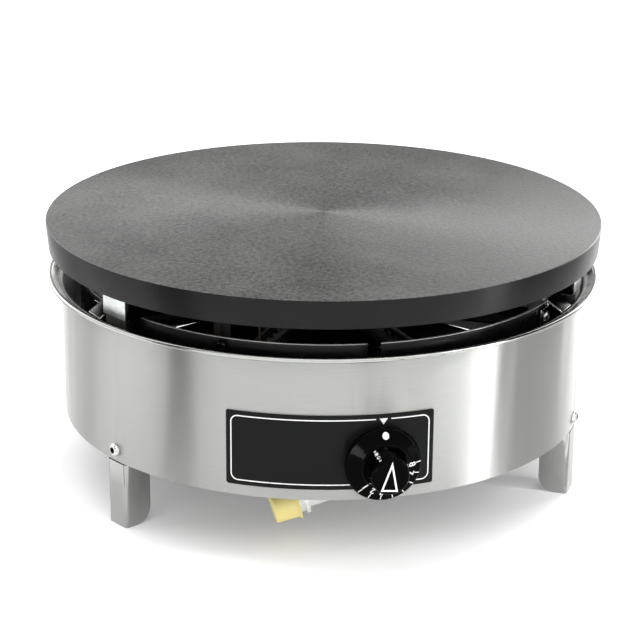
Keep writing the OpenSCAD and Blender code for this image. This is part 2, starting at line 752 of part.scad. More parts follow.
module valve_body() color([0.62, 0.62, 0.6]) difference() {
    union() {
        facing_user(0, knob_z) {
            translate([0, 0, valve_back]) linear_extrude(valve_d) round_square(valve_w, valve_h, 4);
            for (s = [-1, 1])
                translate([s * valve_screw_x, 0, 0]) rod(valve_boss_r, valve_front - 1, panel_d);
        }
        facing_user(0, mixer_z) rod(outlet_boss_r, valve_back - outlet_boss_l, valve_back + 1);
        translate([-inlet_x, -inlet_y, 0]) rod(11, valve_bottom - inlet_boss_l, valve_bottom + 1);
        translate([pilot_x, pilot_y, 0]) rod(5, knob_z + valve_h / 2 - 1, pilot_tube_z);
        translate([0, pilot_y + 2, head_z]) rotate([0, -90, 0]) rod(13, valve_w / 2 - 1, -head_x);
        translate([0, pilot_y - 2, magnet_z]) rotate([0, 90, 0]) {
            rod(9, valve_w / 2 - 1, magnet_x);
            hexagon(10, magnet_x - 1, magnet_x + 6);
        }
    }
    facing_user(0, knob_z) {
        rod(chamber_r, spring_end, valve_front + 1);
        rod(spindle_r + slip, spring_end - tail_l - knob_push - 2, spring_end + 1);
        for (s = [-1, 1])
            translate([s * valve_screw_x, 0, 0]) rod(M4, panel_d - 9, panel_d + 1);
        for (s = [-1, 1])
            translate([0, s * bonnet_screw_r, 0]) rod(M3, valve_front - 6, valve_front + 1);
    }
}

module valve_bonnet() color([0.55, 0.55, 0.54]) facing_user(0, knob_z) difference() {
    union() {
        rod(bonnet_r, valve_front, bonnet_end);
        translate([0, 0, valve_front]) linear_extrude(3) {
            square([9, 2 * bonnet_screw_r], center = true);
            for (s = [-1, 1])
                translate([0, s * bonnet_screw_r]) circle(r = 4.5);
        }
    }
    rod(chamber_r, valve_front - 1, bonnet_end - bonnet_wall);
    rod(spindle_r + slip, valve_front, bonnet_end + 1);
    for (s = [-1, 1])
        translate([0, s * bonnet_screw_r, 0]) rod(M3 + hole_gap, valve_front - 1, valve_front + 4);
}

module bonnet_screws() color([0.8, 0.8, 0.8]) facing_user(0, knob_z) for (s = [-1, 1])
    translate([0, s * bonnet_screw_r, valve_front + 3]) screw(M3, 8);

module valve_screws() color([0.8, 0.8, 0.8]) facing_user(0, knob_z) for (s = [-1, 1])
    translate([s * valve_screw_x, 0, sqrt(pow(label_r + label_t, 2) - pow(valve_screw_x - 4, 2)) + 0.05])
        screw(M4, 9);

module valve_spindle() color([0.75, 0.72, 0.6]) facing_user(0, knob_z) difference() {
    union() {
        rod(spindle_r, spring_end - tail_l, body_r + spindle_end);
        rod(chamber_r - 2.4, collar_d, collar_d + collar_t);
    }
    spindle_flat(0);
}

// The flat that keeps the knob from slipping round on the spindle
module spindle_flat(play) box([spindle_r - flat_depth + play, spindle_r + 1], [-spindle_r - 1, spindle_r + 1],
    [body_r + spindle_end - flat_l, body_r + spindle_end + 1]);

module thrust_washer() color([0.7, 0.7, 0.7]) facing_user(0, knob_z)
    tube(chamber_r - 0.4, spindle_r + slip, washer_d, washer_d + washer_t);

module spindle_spring() color([0.6, 0.6, 0.6]) {
    wire = 0.6;
    turns = 5;
    low = spring_end + wire;
    high = washer_d - wire;
    r = spindle_r + 2.2;
    facing_user(0, knob_z) sweep([
        for (k = [0:turns * 14])
            let (a = 360 * k / 14) [r * cos(a), r * sin(a), low + (high - low) * k / (turns * 14)]
    ], wire, 6);
}

// Knob

module knob_cap() color([0.08, 0.08, 0.08]) facing_user(0, knob_z) {
    rim = knob_back + knob_rim_t;
    foot = knob_back + knob_l * 0.42;
    face = knob_back + knob_l;
    rotate_extrude() difference() {
        polygon([
            [insert_r, knob_back], [knob_r, knob_back], [knob_r, rim - 0.8], [knob_r - 0.8, rim],
            [grip_foot_r + 1, rim + 4.2], [grip_foot_r - 0.4, rim + 5.4], [grip_foot_r - 1, foot],
            [grip_face_r + 0.15, face - 0.8], [grip_face_r - 0.6, face], [0, face],
            [0, knob_back + insert_l + 1], [insert_r, knob_back + insert_l + 1],
        ]);
        polygon([
            [insert_r + knob_wall, knob_back - 1], [knob_r - knob_wall, knob_back - 1],
            [knob_r - knob_wall, rim - knob_wall + 0.4], [grip_foot_r - knob_wall, rim + 4.2 - knob_wall],
            [insert_r + knob_wall, rim + 4.2 - knob_wall],
        ]);
    }
}

module knob_insert() color([0.75, 0.6, 0.3]) facing_user(0, knob_z) difference() {
    rod(insert_r - 0.02, knob_back + 0.5, knob_back + insert_l);
    difference() {
        rod(spindle_r + 0.02, knob_back - 1, body_r + spindle_end + 0.3);
        spindle_flat(0.02);
    }
}

// Gas inlet

// A child on the inlet's sloping axis: its +Z points out of the inlet, from the elbow's middle
module along_inlet() translate([-inlet_x, -inlet_y, elbow_z]) rotate([0, -90 - inlet_slope, 0]) children();

module inlet_elbow() color([0.75, 0.75, 0.73]) difference() {
    union() {
        translate([-inlet_x, -inlet_y, 0]) rod(elbow_r, elbow_z, valve_bottom - inlet_boss_l);
        translate([-inlet_x, -inlet_y, elbow_z]) sphere(r = elbow_r + 0.5);
        along_inlet() {
            rod(elbow_r, 0, inlet_l);
            rod(inlet_collar_r, inlet_l, inlet_l + collar_l);
            rod(neck_r, inlet_l, inlet_l + collar_l + neck_l);
            rod(thread_r, inlet_l + collar_l + neck_l, inlet_l + collar_l + neck_l + thread_l);
        }
    }
    along_inlet() rod(elbow_r - 2.5, -3, inlet_l + collar_l + neck_l + thread_l + 1);
    translate([-inlet_x, -inlet_y, 0]) rod(elbow_r - 2.6, elbow_z - 2, valve_bottom + 1);
}

module inlet_nut() color([0.76, 0.62, 0.3]) translate([-inlet_x, -inlet_y, 0]) difference() {
    high = valve_bottom - inlet_boss_l;
    hexagon(22, high - inlet_nut_h, high);
    rod(elbow_r + slip, high - inlet_nut_h - 1, high + 1);
}

// A push-on cap with a flared lip, closed at its outer end
module inlet_cap() color([0.94, 0.9, 0.55]) along_inlet() {
    near = inlet_l + collar_l + neck_l - 1;
    far = near + thread_l + 3;
    outer = thread_r + slip + cap_wall;
    difference() {
        rotate_extrude() polygon([
            [0, near], [outer + 1.8, near], [outer + 1.8, near + 0.8], [outer, near + 2],
            [outer - 0.4, far - 1], [outer - 1.4, far], [0, far],
        ]);
        rod(thread_r + slip, near - 1, far - cap_wall);
    }
}

// Pilot, thermocouple and thermostat

module pilot_bracket() color([0.7, 0.7, 0.7]) at(270) {
    outer = ring_in_r - bracket_film;
    difference() {
        union() {
            box([shelf_in_r, outer - 1], [-shelf_w / 2, shelf_w / 2], [shelf_z, shelf_z + sheet_t]);
            sheet_arc(outer - sheet_t, outer, -5, 5, shelf_z, shelf_z + 14);
        }
        translate([-pilot_y, pilot_x, 0]) rod(4 + slip, shelf_z - 1, shelf_z + 4);
        translate([-pilot_y, couple_x, 0]) rod(3 + slip, shelf_z - 1, shelf_z + 4);
        for (a = pilot_rivets)
            at(a) outward(pilot_rivet_z) ring_hole(rivet_r + slip);
    }
}

module pilot_burner() color([0.75, 0.68, 0.5]) translate([pilot_x, pilot_y, 0]) difference() {
    union() {
        rod(4, shelf_z - 0.1, shelf_z + 14);
        hexagon(10, shelf_z - pilot_nut_h, shelf_z);
        rod(5.5, shelf_z + 13, shelf_z + 21);
    }
    rod(4, shelf_z + 15, shelf_z + 22);
    box([-6, 6], [-1.5, 1.5], [shelf_z + 18, shelf_z + 22]);
    rod(1, shelf_z - 7, shelf_z + 16);
}

module pilot_tube() color([0.8, 0.55, 0.4]) translate([pilot_x, pilot_y, 0])
    tube(2, 1.2, pilot_tube_z, shelf_z - pilot_nut_h);

module thermocouple() color([0.7, 0.65, 0.55]) translate([couple_x, pilot_y, 0]) {
    rod(3, shelf_z - 7, shelf_z + 18);
    hexagon(9, shelf_z - 4, shelf_z - 0.1);
    translate([0, 0, shelf_z + 18]) cylinder(r1 = 3, r2 = 2, h = 2);
    rod(2, shelf_z + 19, shelf_z + 27);
}

module thermocouple_lead() color([0.75, 0.5, 0.35]) sweep(smooth(LEAD_POINTS, 4), 1.2, 8);

module thermostat_bulb() color([0.75, 0.6, 0.4]) at(bulb_az) outward(bulb_z) rod(bulb_r, bulb_from, bulb_to);

module bulb_bracket() color([0.7, 0.7, 0.7]) at(bulb_az) {
    outer = ring_in_r - bracket_film;
    difference() {
        union() {
            box([bulb_from - 2, outer - 0.5], [-strap_w / 2, strap_w / 2], [strap_z - strap_t, strap_z]);
            sheet_arc(outer - strap_t, outer, -2, 2, ring_top - 22, strap_z);
        }
        for (z = bulb_rivets)
            outward(z) ring_hole(rivet_r + slip);
    }
    for (r = [bulb_from + 15, bulb_to - 15])
        bulb_clip(r);
}

module bracket_rivets() color([0.75, 0.75, 0.75]) {
    for (z = bulb_rivets)
        at(bulb_az) outward(z) ring_rivet(strap_t);
    for (a = pilot_rivets)
        at(270 + a) outward(pilot_rivet_z) ring_rivet(sheet_t);
}

// A rivet through the ring and a bracket of thickness t on its inside
module ring_rivet(t) {
    inner = ring_in_r - bracket_film - t;
    rod(rivet_r, inner - 0.5, ring_r + 0.5);
    translate([0, 0, ring_r]) cylinder(r1 = 3, r2 = 2, h = 1);
    translate([0, 0, inner - 1.1]) cylinder(r1 = 2, r2 = 3, h = 1);
}

// A spring clip that holds the bulb on its strap
module bulb_clip(r) outward(bulb_z) difference() {
    union() {
        rod(bulb_r + 1, r, r + 7);
        box([0, bulb_z - strap_z + 0.1], [-bulb_r - 1, bulb_r + 1], [r, r + 7]);
    }
    rod(bulb_r + slip, r - 1, r + 8);
}

module capillary() color([0.8, 0.55, 0.4]) sweep(smooth(CAPILLARY_POINTS, 4), 1, 8);

// Heat shield: a dished disc with vents, open at the front for the valve, with a tongue up into each leg
module heat_shield() color([0.66, 0.66, 0.65]) {
    low = body_bottom + shield_rise;
    high = low + shield_t;
    rim_r = leg_in_r - 1.5;
    half = leg_w / 2 - leg_bend_r - 0.2; // half the width of a tongue
    tongue_r = leg_r - leg_t - 0.1;
    front = inlet_y - 36;
    difference() {
        union() {
            rotate_extrude() polygon([
                [0, low + 3], [30, low + 3], [36, low], [rim_r, low], [rim_r, low + shield_rim_h],
                [rim_r - shield_t, low + shield_rim_h], [rim_r - shield_t, high], [36.5, high],
                [30.5, high + 3], [0, high + 3],
            ]);
            for (az = STATIONS)
                at(az) {
                    box([rim_r - 4, tongue_r], [-half, half], [low, high]);
                    box([tongue_r - shield_t, tongue_r], [-half, half], [low, leg_screw_z + 7]);
                }
        }
        translate([-45, -rim_r - 2, low - 1]) cube([90, rim_r + 2 - front, shield_rim_h + 2]);
        for (az = STATIONS)
            at(az) outward(leg_screw_z) rod(M5 + hole_gap, leg_in_r - 5, leg_r + 5);
        for (k = [0:15])
            at(22.5 * k + 11.25) shield_vent(58, 92, low);
        for (k = [0:23])
            at(15 * k + 7.5) shield_vent(108, 142, low);
        rod(12, low, high + 5);
    }
}

module shield_vent(from, to, low) {
    box([from, to], [-3, 3], [low - 1, low + shield_t + 1]);
    for (r = [from, to])
        translate([r, 0, 0]) rod(3, low - 1, low + shield_t + 1);
}

griddle_plate();
body_shell();
front_label();
plate_rest_left();
plate_rest_right();
plate_rest_rear();
rest_screws();
rest_nuts();
combustion_ring();
ring_hanger_left();
ring_hanger_right();
ring_hanger_rear();
hanger_screws();
hanger_nuts();
leg_left();
leg_right();
leg_rear();
leg_screws();
leg_nuts();
burner_spider();
spider_screws();
spider_nuts();
burner_hub();
burner_arms();
burner_screws();
venturi();
air_shutter();
shutter_ring();
injector();
injector_holder();
outlet_nut();
valve_body();
valve_bonnet();
bonnet_screws();
valve_screws();
valve_spindle();
thrust_washer();
spindle_spring();
knob_cap();
knob_insert();
inlet_elbow();
inlet_nut();
inlet_cap();
pilot_bracket();
pilot_burner();
pilot_tube();
thermocouple();
thermocouple_lead();
thermostat_bulb();
bulb_bracket();
bracket_rivets();
capillary();
heat_shield();
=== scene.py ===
"""Gas crepe maker: finishes, printed marks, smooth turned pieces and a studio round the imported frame."""

import json
import math

import bpy
from mathutils import Matrix, Vector

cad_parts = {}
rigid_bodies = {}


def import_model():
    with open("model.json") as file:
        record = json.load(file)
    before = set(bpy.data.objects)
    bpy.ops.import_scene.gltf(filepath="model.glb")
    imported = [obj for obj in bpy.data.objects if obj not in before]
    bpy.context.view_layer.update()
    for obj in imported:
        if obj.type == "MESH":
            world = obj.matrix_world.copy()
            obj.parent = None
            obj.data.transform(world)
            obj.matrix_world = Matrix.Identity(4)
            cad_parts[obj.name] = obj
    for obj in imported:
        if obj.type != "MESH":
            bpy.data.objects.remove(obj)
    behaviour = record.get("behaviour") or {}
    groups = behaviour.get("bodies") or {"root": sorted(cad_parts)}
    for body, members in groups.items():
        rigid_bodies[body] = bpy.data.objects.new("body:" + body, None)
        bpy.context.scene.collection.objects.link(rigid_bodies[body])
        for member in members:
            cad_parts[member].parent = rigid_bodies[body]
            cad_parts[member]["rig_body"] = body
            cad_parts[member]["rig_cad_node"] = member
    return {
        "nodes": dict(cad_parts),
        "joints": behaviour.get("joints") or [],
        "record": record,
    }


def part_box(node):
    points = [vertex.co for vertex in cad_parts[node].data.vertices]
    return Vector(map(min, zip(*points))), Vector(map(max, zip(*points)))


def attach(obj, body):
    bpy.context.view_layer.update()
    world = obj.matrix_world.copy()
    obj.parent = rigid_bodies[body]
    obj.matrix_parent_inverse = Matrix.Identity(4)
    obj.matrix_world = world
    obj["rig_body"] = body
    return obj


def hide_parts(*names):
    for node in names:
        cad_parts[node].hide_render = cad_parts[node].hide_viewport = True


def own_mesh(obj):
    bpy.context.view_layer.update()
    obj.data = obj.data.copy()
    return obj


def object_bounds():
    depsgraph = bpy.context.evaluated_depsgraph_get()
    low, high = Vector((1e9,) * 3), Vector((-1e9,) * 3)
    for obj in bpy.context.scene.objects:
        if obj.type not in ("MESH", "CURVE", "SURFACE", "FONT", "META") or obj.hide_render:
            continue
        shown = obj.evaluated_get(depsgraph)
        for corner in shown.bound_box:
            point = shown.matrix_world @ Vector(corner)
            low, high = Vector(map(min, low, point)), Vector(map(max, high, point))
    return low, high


bl_info = {
    "name": "Gas crepe maker",
    "version": (1, 0, 0),
    "blender": (4, 5, 0),
    "location": "View3D > Sidebar > Crepe maker",
    "description": "Dresses the gas crepe maker's frame with its finishes, marks and studio",
    "category": "Object",
}

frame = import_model()
CAD_NODES = frame["nodes"]
CAD_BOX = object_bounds()
MM = 0.001
WALL_GLOW = 1.25
SKY_GLOW = 1.9
# Screens on the studio's walls: heading in degrees from +X, half width, softness of the edges, glow
SCREENS = (
    (193, 10, 3, 0.0),
    (331, 4, 0.8, 9.0),
    (359, 22, 1.5, 0.0),
    (48, 20, 1.5, 3.6),
    (84, 10, 6, 0.5),
    (116, 16, 8, 2.5),
)
# Cards on the floor that only reflections see: name, first and last heading of the mirrored view,
# where they start in front of the wall, and glow
CARDS = (
    ("left_flag", 187, 204, 110 * MM, 0.5),
    ("bright_strip", 327, 335, 5 * MM, 4.5),
    ("right_flag", 345, 391, 5 * MM, 1.02),
    ("rear_left_card", 106, 142, 5 * MM, 0.8),
)
# The heading from which the photograph is taken
VIEW_HEADING = 258.2
KNOB_HEIGHT = sum(corner.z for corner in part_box("knob_insert")) / 2
LIP_FLARE = 9.5 * MM
BODY_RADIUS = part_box("body_shell")[1].x - LIP_FLARE
BODY_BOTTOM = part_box("body_shell")[0].z
SHIELD_SHEET = 1 * MM
# How far from each leg screw's axis the painted shade of its recess reaches
RECESS_SHADE_REACH = 2.2 * MM
LABEL_LOW, LABEL_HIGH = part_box("front_label")
# Where the knob's numbers, 8 down to 1, and its pilot marks stand, as clock angles from the top
SCALE_CLOCK = (88, 107, 126.5, 146, 165, 184.5, 204, 223)
PILOT_CLOCK = 329
# The pointer on the label: heading in degrees from +X and height in mm
POINTER = ((269.6, -85.2), (271.3, -85.2), (270.45, -89.6))


# ---- Sizes and colours that a user would change


class CrepeSizes(bpy.types.PropertyGroup):
    edge_wear: bpy.props.FloatProperty(
        name="Edge rounding", description="Rounding of cut sheet edges", default=0.25 * MM, unit="LENGTH"
    )
    print_height: bpy.props.FloatProperty(
        name="Print height", description="How far printed marks stand proud", default=0.04 * MM, unit="LENGTH"
    )
    outline_inset: bpy.props.FloatProperty(
        name="Outline inset", description="From label's edge to outline", default=3 * MM, unit="LENGTH"
    )
    outline_width: bpy.props.FloatProperty(
        name="Outline width", description="Width of the label's outline", default=0.8 * MM, unit="LENGTH"
    )
    digit_size: bpy.props.FloatProperty(
        name="Digit size", description="Height of the digits on the knob", default=6.6 * MM, unit="LENGTH"
    )


class CrepeColours(bpy.types.PropertyGroup):
    plate: bpy.props.FloatVectorProperty(
        name="Plate", description="Cast iron of the plate", default=(0.051, 0.051, 0.0492), subtype="COLOR"
    )
    steel: bpy.props.FloatVectorProperty(
        name="Steel", description="Brushed steel of the body", default=(0.445, 0.45, 0.437), subtype="COLOR"
    )
    label: bpy.props.FloatVectorProperty(
        name="Label", description="Film of the front label", default=(0.0055, 0.006, 0.0058), subtype="COLOR"
    )
    cap: bpy.props.FloatVectorProperty(
        name="Cap", description="Plastic of the inlet cap", default=(0.82, 0.7, 0.27), subtype="COLOR"
    )
    floor: bpy.props.FloatVectorProperty(
        name="Floor", description="Studio floor", default=(0.9, 0.9, 0.9), subtype="COLOR"
    )


def sizes():
    return bpy.context.scene.crepe_sizes


def colours():
    return bpy.context.scene.crepe_colours


# ---- Finishes


class Wire:
    """A value in a finish, which can be used in sums."""

    def __init__(self, finish, socket):
        self.finish = finish
        self.socket = socket

    def math(self, operation, first, second=0.0):
        return self.finish.node("ShaderNodeMath", {"operation": operation}, {0: first, 1: second})

    def __add__(self, other):
        return self.math("ADD", self, other)

    def __sub__(self, other):
        return self.math("SUBTRACT", self, other)

    def __rsub__(self, other):
        return self.math("SUBTRACT", other, self)

    def __mul__(self, other):
        return self.math("MULTIPLY", self, other)

    def __truediv__(self, other):
        return self.math("DIVIDE", self, other)

    def __pow__(self, other):
        return self.math("POWER", self, other)


class Nodes:
    """A node tree in the making."""

    def __init__(self, tree):
        self.tree = tree

    def join(self, socket, value):
        if isinstance(value, Wire):
            self.tree.links.new(value.socket, socket)
        elif socket.type == "RGBA" and len(value) == 3:
            socket.default_value = (*value, 1)
        else:
            socket.default_value = value

    def node(self, kind, settings, sockets, output=0):
        made = self.tree.nodes.new(kind)
        stops = settings.pop("stops", None)
        for key, value in settings.items():
            setattr(made, key, value)
        if stops:
            ramp = made.color_ramp
            while len(ramp.elements) < len(stops):
                ramp.elements.new(0.5)
            for element, (at, colour) in zip(ramp.elements, stops):
                element.position = at
                element.color = (*colour, 1)
        for key, value in sockets.items():
            self.join(made.inputs[key], value)
        return Wire(self, made.outputs[output])

    def place(self):
        return self.node("ShaderNodeTexCoord", {}, {}, "Object")

    def stretched(self, vector, scale):
        return self.node("ShaderNodeMapping", {}, {"Vector": vector, "Scale": scale})

    def noise(self, vector, scale, detail=3.0, rough=0.5):
        return self.node(
            "ShaderNodeTexNoise",
            {},
            {"Vector": vector, "Scale": scale, "Detail": detail, "Roughness": rough},
        )

    def around(self, vector, radius):
        """The vector in turned form: way round at that radius, height, distance from the axis."""
        x, y, z = (self.node("ShaderNodeSeparateXYZ", {}, {0: vector}, i) for i in range(3))
        angle = x.math("ARCTAN2", y, x)
        reach = (x * x + y * y) ** 0.5
        return angle * radius, z, reach

    def vector(self, x, y, z):
        return self.node("ShaderNodeCombineXYZ", {}, {0: x, 1: y, 2: z})

    def ramp(self, value, stops):
        return self.node("ShaderNodeValToRGB", {"stops": stops}, {0: value})

    def blend(self, amount, first, second):
        made = self.tree.nodes.new("ShaderNodeMix")
        made.data_type = "RGBA"
        self.join(made.inputs["Factor"], amount)
        self.join(made.inputs[6], first)
        self.join(made.inputs[7], second)
        return Wire(self, made.outputs[2])

    def between(self, value, low, high, to_low=0.0, to_high=1.0):
        return self.node("ShaderNodeMapRange", {}, {0: value, 1: low, 2: high, 3: to_low, 4: to_high})


class Finish(Nodes):
    """A material in the making: one Principled shader and the nodes that feed it."""

    def __init__(self, name, **sockets):
        self.material = bpy.data.materials.new(name)
        self.material.use_nodes = True
        super().__init__(self.material.node_tree)
        self.shader = self.tree.nodes["Principled BSDF"]
        for key, value in sockets.items():
            self.set(key.replace("_", " ").title(), value)

    def set(self, key, value):
        full = {"Ior": "IOR", "Specular Level": "Specular IOR Level"}
        self.join(self.shader.inputs[full.get(key, key)], value)

    def bump(self, height, depth, strength=1.0):
        self.set(
            "Normal",
            self.node("ShaderNodeBump", {}, {"Height": height, "Distance": depth, "Strength": strength}),
        )


def cast_iron_top():
    """Turned and seasoned cast iron: fine rings round the middle and a sandy grain."""
    finish = Finish("griddle_iron_top", ior=1.48, anisotropic=0.75, anisotropic_rotation=0.25)
    here = finish.place()
    _, _, reach = finish.around(here, 1.0)
    coarse = finish.noise(here, 300.0, 2.0, 0.6)
    grain = finish.noise(here, 750.0, 2.0, 0.6)
    cloud = finish.noise(here, 9.0, 4.0, 0.6)
    rings = finish.noise(finish.vector(reach, 0.0, 0.0), 1400.0, 2.0, 0.6)
    tone = coarse * 0.35 + grain * 0.2 + cloud * 0.33 + rings * 0.12
    dark, light = ([c * share for c in colours().plate] for share in (0.2, 2.1))
    finish.set("Base Color", finish.ramp(tone, [(0.4, dark), (0.6, light)]))
    finish.set("Roughness", finish.between(cloud * 0.6 + coarse * 0.4, 0.35, 0.65, 0.38, 0.62))
    finish.bump(rings * 0.12 + coarse * 0.5 + grain * 0.38, 0.4 * MM)
    return finish.material


def cast_iron_rim():
    """The plate's turned rim, darker and smoother than its top, its upper edge made bright metal on the right
    only as a painted highlight.
    """
    finish = Finish("griddle_iron_rim", ior=1.3, anisotropic=1.0, anisotropic_rotation=0.25)
    here = finish.place()
    way, height, _ = finish.around(here, 0.2)
    streaks = finish.noise(finish.vector(way * 90.0, height * 1500.0, 0.0), 1.0, 4.0, 0.65)
    cloud = finish.noise(here, 22.0, 4.0, 0.6)
    grain = finish.noise(here, 700.0, 2.0, 0.6)
    tone = streaks * 0.35 + cloud * 0.4 + grain * 0.25
    right = finish.node("ShaderNodeSeparateXYZ", {}, {0: here}, 0)
    # Painted highlight: only on the right is the upper edge made bright bare metal, where the lit edge shines.
    painted_highlight_edge = finish.between(height, -1.2 * MM, -0.5 * MM) * finish.between(right, 0.12, 0.17)
    dark = finish.ramp(tone, [(0.3, (0.0015, 0.0015, 0.0015)), (0.75, (0.007, 0.0068, 0.0066))])
    finish.set("Base Color", finish.blend(painted_highlight_edge, dark, (0.3, 0.3, 0.29)))
    finish.set("Metallic", painted_highlight_edge)
    finish.set("Roughness", finish.between(cloud * 0.5 + streaks * 0.5, 0.35, 0.65, 0.26, 0.44))
    finish.bump(streaks * 0.7 + grain * 0.3, 0.08 * MM, 0.7)
    return finish.material


def body_sheet():
    """Steel brushed round Z: polished by rolling along the lip, its inner face painted near-black as shade."""
    finish = Finish("body_steel", metallic=1.0, anisotropic=1.0, anisotropic_rotation=0.25)
    here = finish.place()
    way, height, reach = finish.around(here, BODY_RADIUS)
    lines_at = (height + reach * 0.7) * 5200.0
    fine = finish.noise(finish.vector(way * 12.0, lines_at, 0.0), 1.0, 4.0, 0.65)
    long_lines = finish.noise(finish.vector(way * 45.0, lines_at * 0.45, 3.0), 1.0, 2.0, 0.5)
    cloud = finish.noise(here, 11.0, 2.0, 0.5)
    tone = fine * 0.5 + long_lines * 0.3 + cloud * 0.2
    colour = colours().steel
    outside = finish.ramp(tone, [(0.3, [c * 0.88 for c in colour]), (0.7, [min(1, c * 1.1) for c in colour])])
    # Painted shade: the wall's inner face is made near-black, where the body's inside lies in shade.
    inside = finish.between(reach, BODY_RADIUS - 0.9 * MM, BODY_RADIUS - 0.5 * MM, 1.0, 0.0)
    lip = finish.between(reach, BODY_RADIUS + 0.4 * MM, BODY_RADIUS + 3 * MM)
    finish.set("Base Color", finish.blend(inside, outside, (0.05, 0.05, 0.05)))
    rough = finish.between(fine * 0.7 + cloud * 0.3, 0.3, 0.7, 0.34, 0.44)
    finish.set("Roughness", rough - lip * 0.22)
    finish.bump(fine * 0.7 + long_lines * 0.3, 0.02 * MM, 0.35)
    return finish.material


def leg_sheet():
    """Brushed sheet whose upper part, inside the body, is painted near-black as shade."""
    finish = Finish("leg_steel", metallic=1.0)
    here = finish.place()
    _, height, _ = finish.around(here, 1.0)
    lines = finish.noise(finish.stretched(here, (3000.0, 3000.0, 14.0)), 1.0, 3.0, 0.6)
    cloud = finish.noise(here, 45.0, 3.0, 0.55)
    # Painted shade: above the body's bottom edge the leg is made near-black and rougher, where it stands in
    # the dark gap inside the body.
    painted_shade_above = finish.between(height, BODY_BOTTOM - 0.8 * MM, BODY_BOTTOM)
    tone = lines * 0.5 + cloud * 0.5
    bright = finish.ramp(tone, [(0.3, (0.31, 0.315, 0.31)), (0.7, (0.42, 0.425, 0.415))])
    finish.set("Base Color", finish.blend(painted_shade_above, bright, (0.03, 0.029, 0.028)))
    finish.set("Roughness", finish.between(lines * 0.6 + cloud * 0.4, 0.3, 0.7, 0.13, 0.25) + painted_shade_above * 0.2)
    finish.bump(lines, 0.02 * MM, 0.3)
    return finish.material


def galvanised():
    """Zinc-coated sheet, brushed level, with faint clouds."""
    finish = Finish("zinc_sheet", metallic=1.0)
    here = finish.place()
    lines = finish.noise(finish.stretched(here, (120.0, 120.0, 2600.0)), 1.0, 3.0, 0.6)
    spangle = finish.noise(here, 420.0, 3.0, 0.6)
    cloud = finish.noise(here, 60.0, 3.0, 0.5)
    tone = lines * 0.5 + spangle * 0.25 + cloud * 0.25
    finish.set("Base Color", finish.ramp(tone, [(0.35, (0.42, 0.45, 0.44)), (0.65, (0.82, 0.85, 0.83))]))
    finish.set("Roughness", finish.between(tone, 0.3, 0.7, 0.3, 0.45))
    finish.bump(lines * 0.7 + spangle * 0.3, 0.03 * MM, 0.4)
    return finish.material


def black_enamel():
    """Glossy black enamel with a faint orange peel, worn to bare metal along the cut top edge."""
    finish = Finish("black_enamel", ior=1.4)
    here = finish.place()
    _, height, _ = finish.around(here, 1.0)
    peel = finish.noise(here, 260.0, 2.0, 0.5)
    cloud = finish.noise(here, 30.0, 3.0, 0.6)
    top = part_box("combustion_ring")[1].z
    bare = finish.between(height + peel * 0.3 * MM, top - 0.45 * MM, top - 0.15 * MM)
    finish.set("Base Color", finish.blend(bare, (0.003, 0.003, 0.003), (0.5, 0.5, 0.48)))
    finish.set("Metallic", bare)
    finish.set("Roughness", finish.between(cloud, 0.3, 0.7, 0.16, 0.34) + bare * 0.1)
    finish.bump(peel, 0.05 * MM, 0.25)
    return finish.material


def plated(name, low, high, rough, metallic=1.0):
    """Plated or drawn metal: smooth, with faint clouds and fine tool marks."""
    finish = Finish(name, metallic=metallic)
    here = finish.place()
    cloud = finish.noise(here, 120.0, 3.0, 0.6)
    fine = finish.noise(here, 1600.0, 2.0, 0.6)
    tone = cloud * 0.6 + fine * 0.4
    finish.set("Base Color", finish.ramp(tone, [(0.3, low), (0.7, high)]))
    finish.set("Roughness", finish.between(tone, 0.3, 0.7, rough - 0.06, rough + 0.08))
    finish.bump(fine, 0.02 * MM, 0.3)
    return finish.material


def cast_metal(name, low, high, rough):
    """Sand-cast or die-cast metal with a grainy skin."""
    finish = Finish(name, metallic=0.85)
    here = finish.place()
    grain = finish.noise(here, 600.0, 4.0, 0.65)
    cloud = finish.noise(here, 40.0, 3.0, 0.55)
    tone = grain * 0.5 + cloud * 0.5
    finish.set("Base Color", finish.ramp(tone, [(0.3, low), (0.7, high)]))
    finish.set("Roughness", finish.between(tone, 0.3, 0.7, rough - 0.08, rough + 0.1))
    finish.bump(grain, 0.12 * MM, 0.5)
    return finish.material


def label_film():
    """Satin black film with a very faint grain."""
    finish = Finish("label_film", ior=1.2)
    here = finish.place()
    grain = finish.noise(here, 1500.0, 2.0, 0.6)
    cloud = finish.noise(here, 18.0, 2.0, 0.5)
    dark, light = ([c * share for c in colours().label] for share in (0.85, 1.2))
    tone = grain * 0.5 + cloud * 0.5
    finish.set("Base Color", finish.ramp(tone, [(0.3, dark), (0.7, light)]))
    finish.set("Roughness", finish.between(tone, 0.3, 0.7, 0.34, 0.46))
    finish.bump(grain, 0.01 * MM, 0.25)
    return finish.material


def moulded(name, low, high, rough, ior):
    """Moulded plastic: a slight mottle and a fine skin."""
    finish = Finish(name, ior=ior)
    here = finish.place()
    cloud = finish.noise(here, 140.0, 3.0, 0.55)
    fine = finish.noise(here, 1300.0, 2.0, 0.6)
    tone = cloud * 0.6 + fine * 0.4
    finish.set("Base Color", finish.ramp(tone, [(0.3, low), (0.7, high)]))
    finish.set("Roughness", finish.between(tone, 0.3, 0.7, rough - 0.05, rough + 0.07))
    finish.bump(fine * 0.5 + cloud * 0.5, 0.02 * MM, 0.25)
    return finish.material


def white_print():
    """Screen-printed white with a slightly uneven edge of ink."""
    finish = Finish("white_print", ior=1.5)
    here = finish.place()
    ink = finish.noise(here, 900.0, 3.0, 0.6)
    finish.set("Base Color", finish.ramp(ink, [(0.3, (0.72, 0.72, 0.71)), (0.65, (0.88, 0.88, 0.87))]))
    finish.set("Roughness", finish.between(ink, 0.3, 0.7, 0.4, 0.55))
    finish.bump(ink, 0.01 * MM, 0.2)
    return finish.material


# ---- Modelling helpers


